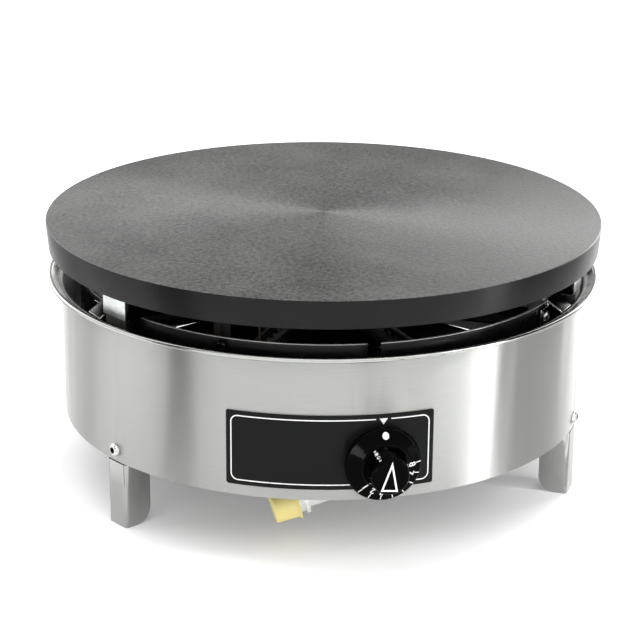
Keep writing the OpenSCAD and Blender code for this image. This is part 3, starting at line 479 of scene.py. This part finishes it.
def clear_selection():
    if bpy.context.mode != "OBJECT":
        bpy.ops.object.mode_set(mode="OBJECT")
    bpy.ops.object.select_all(action="DESELECT")


def named(name):
    piece = bpy.context.object
    piece.name = name
    piece.data.name = name
    return piece


def pick(piece):
    clear_selection()
    bpy.context.view_layer.objects.active = piece
    piece.select_set(True)


def settle(piece, body, slot, *materials, replaced=()):
    """Fixes a finished piece at the origin and hangs it on its body."""
    pick(piece)
    bpy.ops.object.transform_apply(location=True, rotation=True, scale=True)
    if materials:
        piece.data.materials.clear()
        for material in materials:
            piece.data.materials.append(material)
    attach(piece, body)
    if replaced:
        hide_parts(*replaced)
    return piece


def drawn(name, points, closed=False):
    """A line through the points, left in edit mode with all of it selected."""
    clear_selection()
    bpy.ops.mesh.primitive_plane_add(size=1 * MM, location=(0, 0, 0))
    piece = named(name)
    bpy.ops.object.mode_set(mode="EDIT")
    bpy.ops.mesh.merge(type="CENTER")
    points = [Vector(point) for point in points]
    bpy.ops.transform.translate(value=points[0])
    for here, there in zip(points, points[1:]):
        bpy.ops.mesh.extrude_region_move(TRANSFORM_OT_translate={"value": there - here})
    if closed:
        bpy.ops.mesh.extrude_region_move(TRANSFORM_OT_translate={"value": points[0] - points[-1]})
        bpy.ops.mesh.select_all(action="SELECT")
        bpy.ops.mesh.remove_doubles(threshold=0.001 * MM)
    bpy.ops.mesh.select_all(action="SELECT")
    return piece


def joined(name, pieces):
    clear_selection()
    for piece in pieces:
        piece.select_set(True)
    bpy.context.view_layer.objects.active = pieces[0]
    if len(pieces) > 1:
        bpy.ops.object.join()
    return named(name)


def ribbon(name, first, second, closed=False):
    """A strip between two lines with as many points each."""
    lines = []
    for points in (first, second):
        lines.append(drawn(name, points, closed))
        bpy.ops.object.mode_set(mode="OBJECT")
    piece = joined(name, lines)
    bpy.ops.object.mode_set(mode="EDIT")
    bpy.ops.mesh.select_all(action="SELECT")
    bpy.ops.mesh.bridge_edge_loops()
    bpy.ops.mesh.select_all(action="SELECT")
    bpy.ops.mesh.normals_make_consistent(inside=False)
    bpy.ops.object.mode_set(mode="OBJECT")
    return piece


def flat(name, points):
    """A flat face inside the points."""
    piece = drawn(name, points, closed=True)
    bpy.ops.mesh.edge_face_add()
    bpy.ops.object.mode_set(mode="OBJECT")
    return piece


def thicken(piece, towards):
    """Gives a print its film thickness, with its face turned towards the given direction."""
    pick(piece)
    bpy.ops.object.mode_set(mode="EDIT")
    bpy.ops.mesh.select_all(action="SELECT")
    if sum(face.normal.dot(towards) * face.area for face in piece.data.polygons) < 0:
        bpy.ops.mesh.flip_normals()
    bpy.ops.object.mode_set(mode="OBJECT")
    modify(piece, "SOLIDIFY", thickness=sizes().print_height, offset=1)


def turned(name, outline, segments=128):
    """A turned piece round +Z: its outline of (radius, height) pairs is drawn point by point and spun."""
    piece = drawn(name, [(radius, 0, height) for radius, height in outline])
    bpy.ops.mesh.spin(steps=segments, angle=2 * math.pi, center=(0, 0, 0), axis=(0, 0, 1))
    bpy.ops.mesh.select_all(action="SELECT")
    bpy.ops.mesh.remove_doubles(threshold=0.001 * MM)
    bpy.ops.mesh.normals_make_consistent(inside=False)
    bpy.ops.object.mode_set(mode="OBJECT")
    return piece


def modify(piece, kind, **settings):
    pick(piece)
    modifier = piece.modifiers.new(kind.title(), kind)
    for key, value in settings.items():
        setattr(modifier, key, value)
    bpy.ops.object.modifier_apply(modifier=modifier.name)


def smooth(piece, degrees=32):
    pick(piece)
    bpy.ops.object.shade_smooth_by_angle(angle=math.radians(degrees))


def copied(node, name, edge=0.0, edge_material=-1):
    """A merged copy of a CAD node with flat triangles joined, sharp edges eased and curves smooth."""
    pick(CAD_NODES[node])
    bpy.ops.object.duplicate()
    piece = named(name)
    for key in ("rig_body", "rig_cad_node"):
        if key in piece:
            del piece[key]
    piece.parent = None
    bpy.ops.object.mode_set(mode="EDIT")
    bpy.ops.mesh.select_all(action="SELECT")
    bpy.ops.mesh.remove_doubles(threshold=0.002 * MM)
    bpy.ops.mesh.dissolve_limited(angle_limit=math.radians(0.5))
    bpy.ops.object.mode_set(mode="OBJECT")
    if edge:
        modify(piece, "BEVEL", width=edge, segments=2, limit_method="ANGLE", angle_limit=math.radians(40),
               material=edge_material)
    smooth(piece)
    return piece


def body_of(node):
    return CAD_NODES[node]["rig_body"]


def slot_of(node):
    return next(s["material_slot"] for s in frame["record"]["subparts"] if s["node"] == node)


def stand_in(node, material, edge=0.0, edge_finish=None):
    """Puts a smooth copy in the place of a CAD node. Its eased edges can have a finish of their own."""
    materials = [material] if edge_finish is None else [material, edge_finish]
    CAD_NODES[node].data.materials.clear()
    for one in materials:
        CAD_NODES[node].data.materials.append(one)
    piece = copied(node, node + "_smooth", edge, len(materials) - 1)
    return settle(piece, body_of(node), slot_of(node), replaced=(node,))


def project(piece, target, lift):
    """Lays a flat piece on a target, seen from the front."""
    modify(
        piece,
        "SHRINKWRAP",
        wrap_method="PROJECT",
        target=target,
        use_project_y=True,
        use_negative_direction=True,
        use_positive_direction=True,
        wrap_mode="ABOVE_SURFACE",
        offset=lift,
    )


# ---- Pieces


def lay_mark(piece, cap):
    """Lays a flat mark on the knob, seen from the front, and gives it its film thickness."""
    pick(piece)
    bpy.ops.object.mode_set(mode="EDIT")
    bpy.ops.mesh.select_all(action="SELECT")
    bpy.ops.mesh.quads_convert_to_tris()
    bpy.ops.mesh.subdivide(number_cuts=1)
    bpy.ops.object.mode_set(mode="OBJECT")
    project(piece, cap, 0.02 * MM)
    thicken(piece, Vector((0, -1, 0)))


def pilot_shapes():
    """The pilot marks as flat outlines: offset clockwise and distance up the grip, in mm."""
    turns = [k * math.pi / 6 for k in range(12)]
    star = [(math.sin(a) * r, 4.6 + math.cos(a) * r) for a, r in zip(turns, [2.4, 1.1] * 6)]
    ring = [(math.sin(a) * 1.6, 9.0 + math.cos(a) * 1.6) for a in turns]
    return (
        [(-1.1, 0.9), (1.1, 0.9), (1.1, 1.5), (-0.3, 1.5), (-0.3, 2.3), (-1.1, 2.3)],
        star,
        ring,
        [(-1.3, 12.2), (1.3, 12.2), (1.3, 13.2), (-1.3, 13.2)],
    )


class CREPE_OT_griddle(bpy.types.Operator):
    """Turn the cast-iron plate with its thick band and locating lugs"""

    bl_idname = "crepe.griddle"
    bl_label = "Griddle plate"

    def execute(self, context):
        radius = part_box("griddle_plate")[1].y
        thick, web, edge = 20 * MM, 13 * MM, 1 * MM
        band = radius - 45 * MM
        rim = radius - 1.5 * MM
        arc = [math.radians(90 - 15 * k) for k in range(7)]
        outline = [(0, 0), (radius * 0.5, 0)]
        outline += [(radius - edge + edge * math.cos(a), -edge + edge * math.sin(a)) for a in arc]
        for inward, rise in ((-0.05, 0.9), (0.2, 0.4), (0.8, 0)):
            outline.append((rim - inward * MM, rise * MM - thick))
        outline += [(band, -thick), (band + web - thick, -web), (0, -web)]
        plate = turned("griddle", outline, 256)
        lugs = copied("griddle_plate", "griddle_lugs")
        bpy.ops.object.mode_set(mode="EDIT")
        bpy.ops.mesh.select_all(action="SELECT")
        bpy.ops.mesh.bisect(plane_co=(0, 0, 0.05 * MM - thick), plane_no=(0, 0, 1), clear_outer=True)
        bpy.ops.object.mode_set(mode="OBJECT")
        modify(lugs, "BEVEL", width=0.8 * MM, segments=2, limit_method="ANGLE", angle_limit=math.radians(25))
        top, side = cast_iron_top(), cast_iron_rim()
        smooth(plate, 25)
        settle(plate, "griddle", "griddle_iron", top, side, replaced=("griddle_plate",))
        for face in plate.data.polygons:
            face.material_index = 0 if face.normal.z > 0.7 else 1
        settle(lugs, "griddle", "griddle_iron", side)
        return {"FINISHED"}


class CREPE_OT_body(bpy.types.Operator):
    """Finish the brushed body shell and the black label on it"""

    bl_idname = "crepe.body"
    bl_label = "Body and label"

    def execute(self, context):
        bare = plated("cut_edge", (0.72, 0.72, 0.7), (0.9, 0.9, 0.88), 0.2)
        stand_in("body_shell", body_sheet(), 0.3 * MM, bare)
        stand_in("front_label", label_film(), 0.12 * MM)
        return {"FINISHED"}


class CREPE_OT_label_print(bpy.types.Operator):
    """Print the label's white outline and its pointer"""

    bl_idname = "crepe.label_print"
    bl_label = "Label print"

    def execute(self, context):
        self.radius = -LABEL_LOW.y
        inset, width = sizes().outline_inset, sizes().outline_width
        outer = self.outline(inset, 5 * MM)
        inner = self.outline(inset + width, 5 * MM - width)
        line = ribbon("label_outline", outer, inner)
        pointer = flat("label_pointer", [self.on_label(way, z * MM) for way, z in POINTER])
        ink = white_print()
        for piece in (line, pointer):
            thicken(piece, Vector((0, -1, 0)))
            settle(piece, "stove", "label_black", ink)
        return {"FINISHED"}

    def on_label(self, way, z):
        turn = math.radians(way)
        reach = self.radius + 0.01 * MM
        return (reach * math.cos(turn), reach * math.sin(turn), z)

    def outline(self, inset, corner):
        """The line at this distance inside the label's edge, from the pointer's right round to its left."""
        degrees = math.degrees(1 / self.radius)
        left = math.degrees(-math.acos(LABEL_LOW.x / self.radius)) + 360 + inset * degrees
        right = math.degrees(-math.acos(LABEL_HIGH.x / self.radius)) + 360 - inset * degrees
        low, high = LABEL_LOW.z + inset, LABEL_HIGH.z - inset
        bend = corner * degrees
        path = [(way, high) for way in self.steps(POINTER[1][0] + 0.7, right - bend)]
        for way, z, start in (
            (right - bend, high - corner, 90), (right - bend, low + corner, 0),
            (left + bend, low + corner, -90), (left + bend, high - corner, -180),
        ):
            for k in range(7):
                turn = math.radians(start - 15 * k)
                path.append((way + bend * math.cos(turn), z + corner * math.sin(turn)))
            if start == 0:
                path += [(way, low) for way in self.steps(right - bend, left + bend)[1:-1]]
        path += [(way, high) for way in self.steps(left + bend, POINTER[0][0] - 0.7)[1:]]
        return [self.on_label(way, z) for way, z in path]

    def steps(self, start, end):
        count = 14
        return [start + (end - start) * k / count for k in range(count + 1)]


class CREPE_OT_supports(bpy.types.Operator):
    """Finish the legs, plate rests, ring hangers and combustion ring"""

    bl_idname = "crepe.supports"
    bl_label = "Legs, rests and ring"

    def execute(self, context):
        zinc = galvanised()
        bright = plated("bare_edge", (0.72, 0.72, 0.7), (0.9, 0.9, 0.88), 0.2)
        # Near-black steel: on the hangers partly their own dark steel, partly painted shade; on the rests the
        # side flanges are painted shade, their outward faces zinc.
        dark = plated("dark_steel_and_painted_shade", (0.005, 0.005, 0.005), (0.014, 0.014, 0.014), 0.3)
        steel = leg_sheet()
        for place in ("left", "right", "rear"):
            rest = stand_in("plate_rest_" + place, dark, sizes().edge_wear, bright)
            rest.data.materials.append(zinc)
            self.repaint(rest, 2, facing=True)
            hanger = stand_in("ring_hanger_" + place, dark, sizes().edge_wear, bright)
            self.repaint(hanger, 1, facing=False)
            stand_in("leg_" + place, steel, sizes().edge_wear)
        enamel = black_enamel()
        stand_in("combustion_ring", enamel, 0.2 * MM)
        stand_in("bracket_rivets", enamel, 0.12 * MM)
        return {"FINISHED"}

    def repaint(self, piece, index, facing):
        """Gives another finish to the faces that look outward, or else to the cut faces beside them; the other
        faces keep the near-black steel, partly painted shade.
        """
        middle = sum((vertex.co for vertex in piece.data.vertices), Vector()) / len(piece.data.vertices)
        out = Vector((middle.x, middle.y, 0)).normalized()
        look = out if facing else out.cross(Vector((0, 0, 1)))
        for face in piece.data.polygons:
            lined_up = face.normal.dot(look)
            if lined_up > 0.9 or (not facing and lined_up < -0.9):
                face.material_index = index


class CREPE_OT_fasteners(bpy.types.Operator):
    """Finish the screws, nuts, washer, shutter ring and return spring"""

    bl_idname = "crepe.fasteners"
    bl_label = "Screws and nuts"

    def execute(self, context):
        zinc = plated("zinc_plate", (0.55, 0.55, 0.53), (0.8, 0.8, 0.78), 0.26)
        for node in CAD_NODES:
            if node.endswith(("_screws", "_nuts")) or node in ("shutter_ring", "thrust_washer"):
                stand_in(node, zinc, 0.12 * MM)
        self.spring(zinc)
        self.paint_recess_shade()
        return {"FINISHED"}

    def spring(self, finish):
        """The return spring, a smooth copy with a mesh of its own; its squash from the knob's travel is worked
        out but not applied.
        """
        coil = stand_in("spindle_spring", finish)
        low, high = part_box("spindle_spring")
        travel = next(max(joint["range_m"]) for joint in frame["joints"] if joint["name"] == "knob_press")
        1 - travel / (high.y - low.y)
        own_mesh(coil)

    def paint_recess_shade(self):
        """Paints shade into the recesses in the heads of the leg screws, as near-black."""
        piece = bpy.data.objects["leg_screws_smooth"]
        piece.data.materials.append(plated("recess", (0.004, 0.004, 0.004), (0.01, 0.01, 0.01), 0.6))
        height = sum(corner.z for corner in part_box("leg_screws")) / 2
        far = max(vertex.co.xy.length for vertex in piece.data.vertices)
        for place in ("left", "right", "rear"):
            low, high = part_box("leg_" + place)
            out = Vector((low.x + high.x, low.y + high.y, 0)).normalized()
            for face in piece.data.polygons:
                along = face.center.dot(out)
                aside = (face.center - out * along - Vector((0, 0, height))).length
                if along > far - 2 * MM and aside < RECESS_SHADE_REACH:
                    face.material_index = 1


class CREPE_OT_burner(bpy.types.Operator):
    """Finish the star burner with its spider, venturi, air shutter and heat shield"""

    bl_idname = "crepe.burner"
    bl_label = "Burner"

    def execute(self, context):
        # Painted shade: the spider, arms and shutter get near-black steel, and the hub and venturi near-black
        # iron, partly the iron's own dark colour, for the dark inside under the plate.
        plain = plated("plain_steel", (0.012, 0.012, 0.012), (0.035, 0.034, 0.033), 0.5)
        iron = cast_metal("burner_iron", (0.012, 0.012, 0.012), (0.04, 0.039, 0.038), 0.6)
        shield = plated("shield_steel", (0.03, 0.03, 0.029), (0.06, 0.06, 0.058), 0.5)
        for node in ("burner_spider", "burner_arms", "air_shutter"):
            stand_in(node, plain)
        for node in ("burner_hub", "venturi"):
            stand_in(node, iron, 0.4 * MM)
        stand_in("heat_shield", shield)
        flaps = []
        for count, start, end in ((16, 55, 95), (24, 105, 145)):
            flaps += self.flaps(count, start * MM, end * MM)
        smooth(settle(joined("shield_flaps", flaps), "stove", slot_of("heat_shield"), shield), 40)
        return {"FINISHED"}

    def flaps(self, count, start, end):
        """The pressed flaps over one ring of vents, each raised along one long side of its vent."""
        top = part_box("heat_shield")[0].z + SHIELD_SHEET + 0.02 * MM
        across = ((-4, -0.1), (-3.4, 0.5), (-1, 1.6), (3.2, 2.6))
        made = []
        for k in range(count):
            piece = drawn("flap", [(start - 4 * MM, way * MM, top + rise * MM) for way, rise in across])
            bpy.ops.mesh.extrude_region_move(TRANSFORM_OT_translate={"value": (end - start + 6 * MM, 0, 0)})
            bpy.ops.object.mode_set(mode="OBJECT")
            modify(piece, "SOLIDIFY", thickness=0.6 * MM, offset=0)
            piece.rotation_euler.z = 2 * math.pi * (k + 0.5) / count
            made.append(piece)
        return made


class CREPE_OT_gas(bpy.types.Operator):
    """Finish the gas valve, pilot, thermocouple and thermostat"""

    bl_idname = "crepe.gas"
    bl_label = "Gas valve and pilot"

    def execute(self, context):
        brass = plated("brass", (0.6, 0.44, 0.17), (0.82, 0.64, 0.3), 0.3)
        copper = plated("copper", (0.035, 0.02, 0.013), (0.075, 0.042, 0.028), 0.45)
        cast = cast_metal("valve_aluminium", (0.42, 0.42, 0.41), (0.6, 0.6, 0.58), 0.42)
        hot = plated("heat_tint", (0.008, 0.0075, 0.007), (0.022, 0.02, 0.018), 0.5)
        for node in (
            "injector", "injector_holder", "outlet_nut", "valve_spindle", "inlet_nut", "knob_insert",
        ):
            stand_in(node, brass, 0.1 * MM)
        for node in ("valve_body", "valve_bonnet"):
            stand_in(node, cast, 0.5 * MM)
        for node in ("thermocouple_lead", "capillary", "thermostat_bulb"):
            stand_in(node, copper)
        for node in ("pilot_burner", "pilot_tube", "thermocouple", "pilot_bracket", "bulb_bracket"):
            stand_in(node, hot, 0.1 * MM)
        return {"FINISHED"}


class CREPE_OT_inlet(bpy.types.Operator):
    """Finish the gas inlet and its yellow cap"""

    bl_idname = "crepe.inlet"
    bl_label = "Gas inlet"

    def execute(self, context):
        nickel = plated("inlet_plate", (0.72, 0.72, 0.72), (0.88, 0.88, 0.87), 0.3, 0.4)
        stand_in("inlet_elbow", nickel, 0.3 * MM)
        cap = colours().cap
        stand_in("inlet_cap", moulded("cap_plastic", [c * 0.92 for c in cap], cap, 0.42, 1.5), 0.3 * MM)
        return {"FINISHED"}


class CREPE_OT_knob(bpy.types.Operator):
    """Finish the knob and print its scale, its dot and its pointer"""

    bl_idname = "crepe.knob"
    bl_label = "Knob"

    def execute(self, context):
        gloss = moulded("knob_plastic", (0.0003, 0.0003, 0.0003), (0.0008, 0.0008, 0.0008), 0.09, 1.1)
        cap = self.cap(gloss)
        lit = bpy.data.collections.new("knob_only")
        lit.objects.link(cap)
        bpy.data.objects["knob_softbox"].light_linking.receiver_collection = lit
        marks = [self.dot(), *self.scale()]
        for piece in marks:
            lay_mark(piece, cap)
        skirt = joined("knob_scale", marks)
        pointer = self.pointer()
        side = self.pilot_marks(cap)
        ink = white_print()
        for piece in (skirt, pointer, side):
            settle(piece, "knob", "knob_plastic", ink)
        return {"FINISHED"}

    def cap(self, gloss):
        """The skirted cone and its grip: (from the axis, from the back) pairs in mm, corners rounded."""
        low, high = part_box("knob_cap")
        reach, back, length = high.x / MM, -high.y / MM, (high.y - low.y) / MM
        rim, foot = 2.5, 6.7
        outline = [(0, length)]
        outline += self.corner((10.2, length), (reach * 0.492, length), (reach * 0.5, length - 3), 5)
        outline += self.corner((14.6, foot + 4.5), (15.05, foot + 2), (15.6, foot + 0.9), 3)
        outline += self.corner((16.2, foot + 0.4), (17, foot), (19, foot - 0.95), 4)
        outline += self.corner((reach - 2.2, rim + 0.75), (reach - 0.4, rim), (reach, rim - 1), 5)
        outline += self.corner((reach, 0.5), (reach, 0), (reach - 0.5, 0), 3)
        outline += [(reach - 2, 0), (reach - 2, 1), (14, 4.6), (9, 4.6), (9, 0), (7, 0), (7, 14.5), (0, 14.5)]
        piece = turned("knob", [(r * MM, (back + d) * MM) for r, d in outline], 128)
        piece.rotation_euler.x = math.pi / 2
        piece.location.z = KNOB_HEIGHT
        smooth(piece, 40)
        return settle(piece, "knob", "knob_plastic", gloss, replaced=("knob_cap",))

    def corner(self, start, middle, end, count):
        """Points along the curve that leaves towards the middle point and comes from it."""
        points = []
        for k in range(count + 1):
            t = k / count
            shares = ((1 - t) ** 2, 2 * t * (1 - t), t * t)
            points.append(tuple(sum(w * v for w, v in zip(shares, trio)) for trio in zip(start, middle, end)))
        return points

    def spot(self, clock, reach, across=0.0):
        """A point in front of the dial: clock angle from the top, distance from the axis, offset clockwise."""
        turn, front = math.radians(clock), -230
        x = reach * math.sin(turn) + across * math.cos(turn)
        z = reach * math.cos(turn) - across * math.sin(turn)
        return Vector((x * MM, front * MM, KNOB_HEIGHT + z * MM))

    def dot(self):
        middle = self.spot(1.6, 21.1)
        turns = [k * math.pi / 12 for k in range(24)]
        return flat("dot", [middle + Vector((math.cos(a), 0, math.sin(a))) * 2.25 * MM for a in turns])

    def scale(self):
        pieces = []
        for number, clock in zip("87654321", SCALE_CLOCK):
            near, far, half = 21.3, 24.9, 0.3
            ends = ((near, -half), (far, -half), (far, half), (near, half))
            pieces.append(flat("tick", [self.spot(clock, reach, across) for reach, across in ends]))
            pieces.append(self.digit(number, clock))
        return pieces

    def digit(self, number, clock):
        clear_selection()
        bpy.ops.object.text_add(location=(0, 0, 0))
        text = bpy.context.object
        text.data.body = number
        text.data.size = sizes().digit_size
        text.data.align_x, text.data.align_y = "CENTER", "CENTER"
        text.data.offset = 0.12 * MM
        bpy.ops.object.convert(target="MESH")
        piece = named("digit")
        piece.matrix_world = (
            Matrix.Translation(self.spot(clock + 1, 18.2))
            @ Matrix.Rotation(math.radians(clock), 4, "Y")
            @ Matrix.Rotation(math.pi / 2, 4, "X")
        )
        bpy.ops.object.transform_apply(location=True, rotation=True, scale=True)
        return piece

    def pointer(self):
        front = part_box("knob_cap")[0].y - 0.02 * MM
        corners = ((0.8, 11.1), (4.6, -10.3), (-6.8, -9.2))
        piece = flat("knob_pointer", [(x * MM, front, KNOB_HEIGHT + z * MM) for x, z in corners])
        bpy.ops.object.mode_set(mode="EDIT")
        bpy.ops.mesh.select_all(action="SELECT")
        bpy.ops.mesh.inset(thickness=1.2 * MM, use_even_offset=True)
        bpy.ops.mesh.delete(type="FACE")
        bpy.ops.object.mode_set(mode="OBJECT")
        thicken(piece, Vector((0, -1, 0)))
        return piece

    def pilot_marks(self, cap):
        """A tick, a spark, a ring and a dash in a row up the grip's side."""
        turn = math.radians(PILOT_CLOCK)
        out = Vector((math.sin(turn), 0, math.cos(turn)))
        across = Vector((math.cos(turn), 0, -math.sin(turn)))
        foot = Vector((0, -205.5 * MM, KNOB_HEIGHT)) + out * 16.5 * MM
        along = Vector((0, -1, 0))
        pieces = []
        for points in pilot_shapes():
            places = [foot + along * v * MM + across * u * MM + out * 2 * MM for u, v in points]
            pieces.append(flat("pilot_mark", places))
        piece = joined("knob_pilot_marks", pieces)
        modify(piece, "SHRINKWRAP", wrap_method="NEAREST_SURFACEPOINT", wrap_mode="ABOVE_SURFACE", target=cap,
               offset=0.02 * MM)
        thicken(piece, out)
        return piece


class CREPE_OT_studio(bpy.types.Operator):
    """Set the floor, the soft lights and the camera"""

    bl_idname = "crepe.studio"
    bl_label = "Studio"

    def execute(self, context):
        clear_selection()
        floor_z = CAD_BOX[0].z
        bpy.ops.mesh.primitive_plane_add(size=60, location=(0, 0, floor_z))
        floor = named("studio_floor")
        finish = Finish("studio_floor", base_color=colours().floor, roughness=0.9, emission_strength=0.17)
        finish.set("Emission Color", (1, 1, 1))
        floor.data.materials.append(finish.material)
        self.lights()
        self.cards(floor_z + 1 * MM)
        self.surroundings()
        self.camera()
        return {"FINISHED"}

    def lights(self):
        for name, place, size, power in (
            ("knob_softbox", (-1.2, -1.75, 0.06), (0.6, 0.45), 14),
            ("right_lamp", (1.3, -1.1, 1.5), (0.12, 0.12), 2.1),
        ):
            bpy.ops.object.light_add(type="AREA", location=place)
            light = bpy.context.object
            light.name = name
            light.data.shape = "RECTANGLE"
            light.data.size, light.data.size_y = size
            light.data.energy = power
            light.rotation_euler = (Vector((0, 0, -0.1)) - Vector(place)).to_track_quat("-Z", "Y").to_euler()

    def cards(self, height):
        """Dark and bright cards on the floor, fanned out from the body's wall along its mirrored view."""
        for name, first, last, gap, glow in CARDS:
            near, far = [], []
            for k in range(13):
                heading = first + (last - first) * k / 12
                wall, way = (math.radians(turn) for turn in ((heading + VIEW_HEADING) / 2, heading))
                start = Vector((math.cos(wall), math.sin(wall), 0)) * BODY_RADIUS + Vector((0, 0, height))
                ahead = Vector((math.cos(way), math.sin(way), 0))
                near.append(start + ahead * gap)
                far.append(start + ahead * 3)
            card = ribbon(name, near, far)
            finish = Finish(name, base_color=(0, 0, 0), roughness=1.0, specular_level=0.0)
            finish.set("Emission Color", (1, 1, 1))
            finish.set("Emission Strength", glow)
            card.data.materials.append(finish.material)
            for seen_by in ("camera", "diffuse", "shadow", "transmission", "volume_scatter"):
                setattr(card, "visible_" + seen_by, False)

    def surroundings(self):
        """A bright sky over softer walls, with lighter and darker screens round the sides."""
        world = bpy.data.worlds.new("studio_air")
        bpy.context.scene.world = world
        world.use_nodes = True
        air = Nodes(world.node_tree)
        way = air.node("ShaderNodeTexCoord", {}, {}, "Generated")
        x, y, z = (air.node("ShaderNodeSeparateXYZ", {}, {0: way}, i) for i in range(3))
        level = (x * x + y * y) ** 0.5 + 0.0001
        above = air.between(z, 0.45, 0.85)
        glow = above * SKY_GLOW + (1 - above) * WALL_GLOW
        for heading, half, edge, strength in SCREENS:
            turn = math.radians(heading)
            facing = (x * math.cos(turn) + y * math.sin(turn)) / level
            limits = [math.cos(math.radians(max(0.0, half + side * edge))) for side in (1, -1)]
            here = air.between(facing, *limits)
            glow = here * strength + (1 - here) * glow
        air.join(world.node_tree.nodes["Background"].inputs["Strength"], glow)
        air.join(world.node_tree.nodes["Background"].inputs["Color"], (1, 1, 1))

    def camera(self):
        view = bpy.data.cameras.new("camera")
        view.lens, view.sensor_width = 116.75, 36
        camera = bpy.data.objects.new("camera", view)
        bpy.context.scene.collection.objects.link(camera)
        camera.matrix_world = (
            Matrix.Translation((-0.2951, -1.4126, 0.4273))
            @ Matrix.Rotation(math.radians(-11.72), 4, "Z")
            @ Matrix.Rotation(math.radians(90 - 19.49), 4, "X")
            @ Matrix.Rotation(0.0083, 4, "Z")
        )
        bpy.context.scene.camera = camera
        bpy.context.scene.view_settings.view_transform = "Standard"


class CREPE_PT_panel(bpy.types.Panel):
    """Sizes, colours and the steps that dress the crepe maker"""

    bl_idname = "CREPE_PT_panel"
    bl_label = "Gas crepe maker"
    bl_space_type = "VIEW_3D"
    bl_region_type = "UI"
    bl_category = "Crepe maker"

    def draw(self, context):
        for group in (context.scene.crepe_sizes, context.scene.crepe_colours):
            for name in group.__annotations__:
                self.layout.prop(group, name)
        for step in STEPS:
            self.layout.operator(step.bl_idname)


STEPS = (
    CREPE_OT_studio,
    CREPE_OT_griddle,
    CREPE_OT_body,
    CREPE_OT_label_print,
    CREPE_OT_supports,
    CREPE_OT_fasteners,
    CREPE_OT_burner,
    CREPE_OT_gas,
    CREPE_OT_inlet,
    CREPE_OT_knob,
)
CLASSES = (CrepeSizes, CrepeColours, *STEPS, CREPE_PT_panel)


def register():
    for cls in CLASSES:
        bpy.utils.register_class(cls)
    bpy.types.Scene.crepe_sizes = bpy.props.PointerProperty(type=CrepeSizes)
    bpy.types.Scene.crepe_colours = bpy.props.PointerProperty(type=CrepeColours)


def unregister():
    del bpy.types.Scene.crepe_sizes
    del bpy.types.Scene.crepe_colours
    for cls in reversed(CLASSES):
        bpy.utils.unregister_class(cls)


def main():
    register()
    for step in STEPS:
        getattr(bpy.ops.crepe, step.bl_idname.split(".")[1])()


if __name__ == "__main__":
    main()
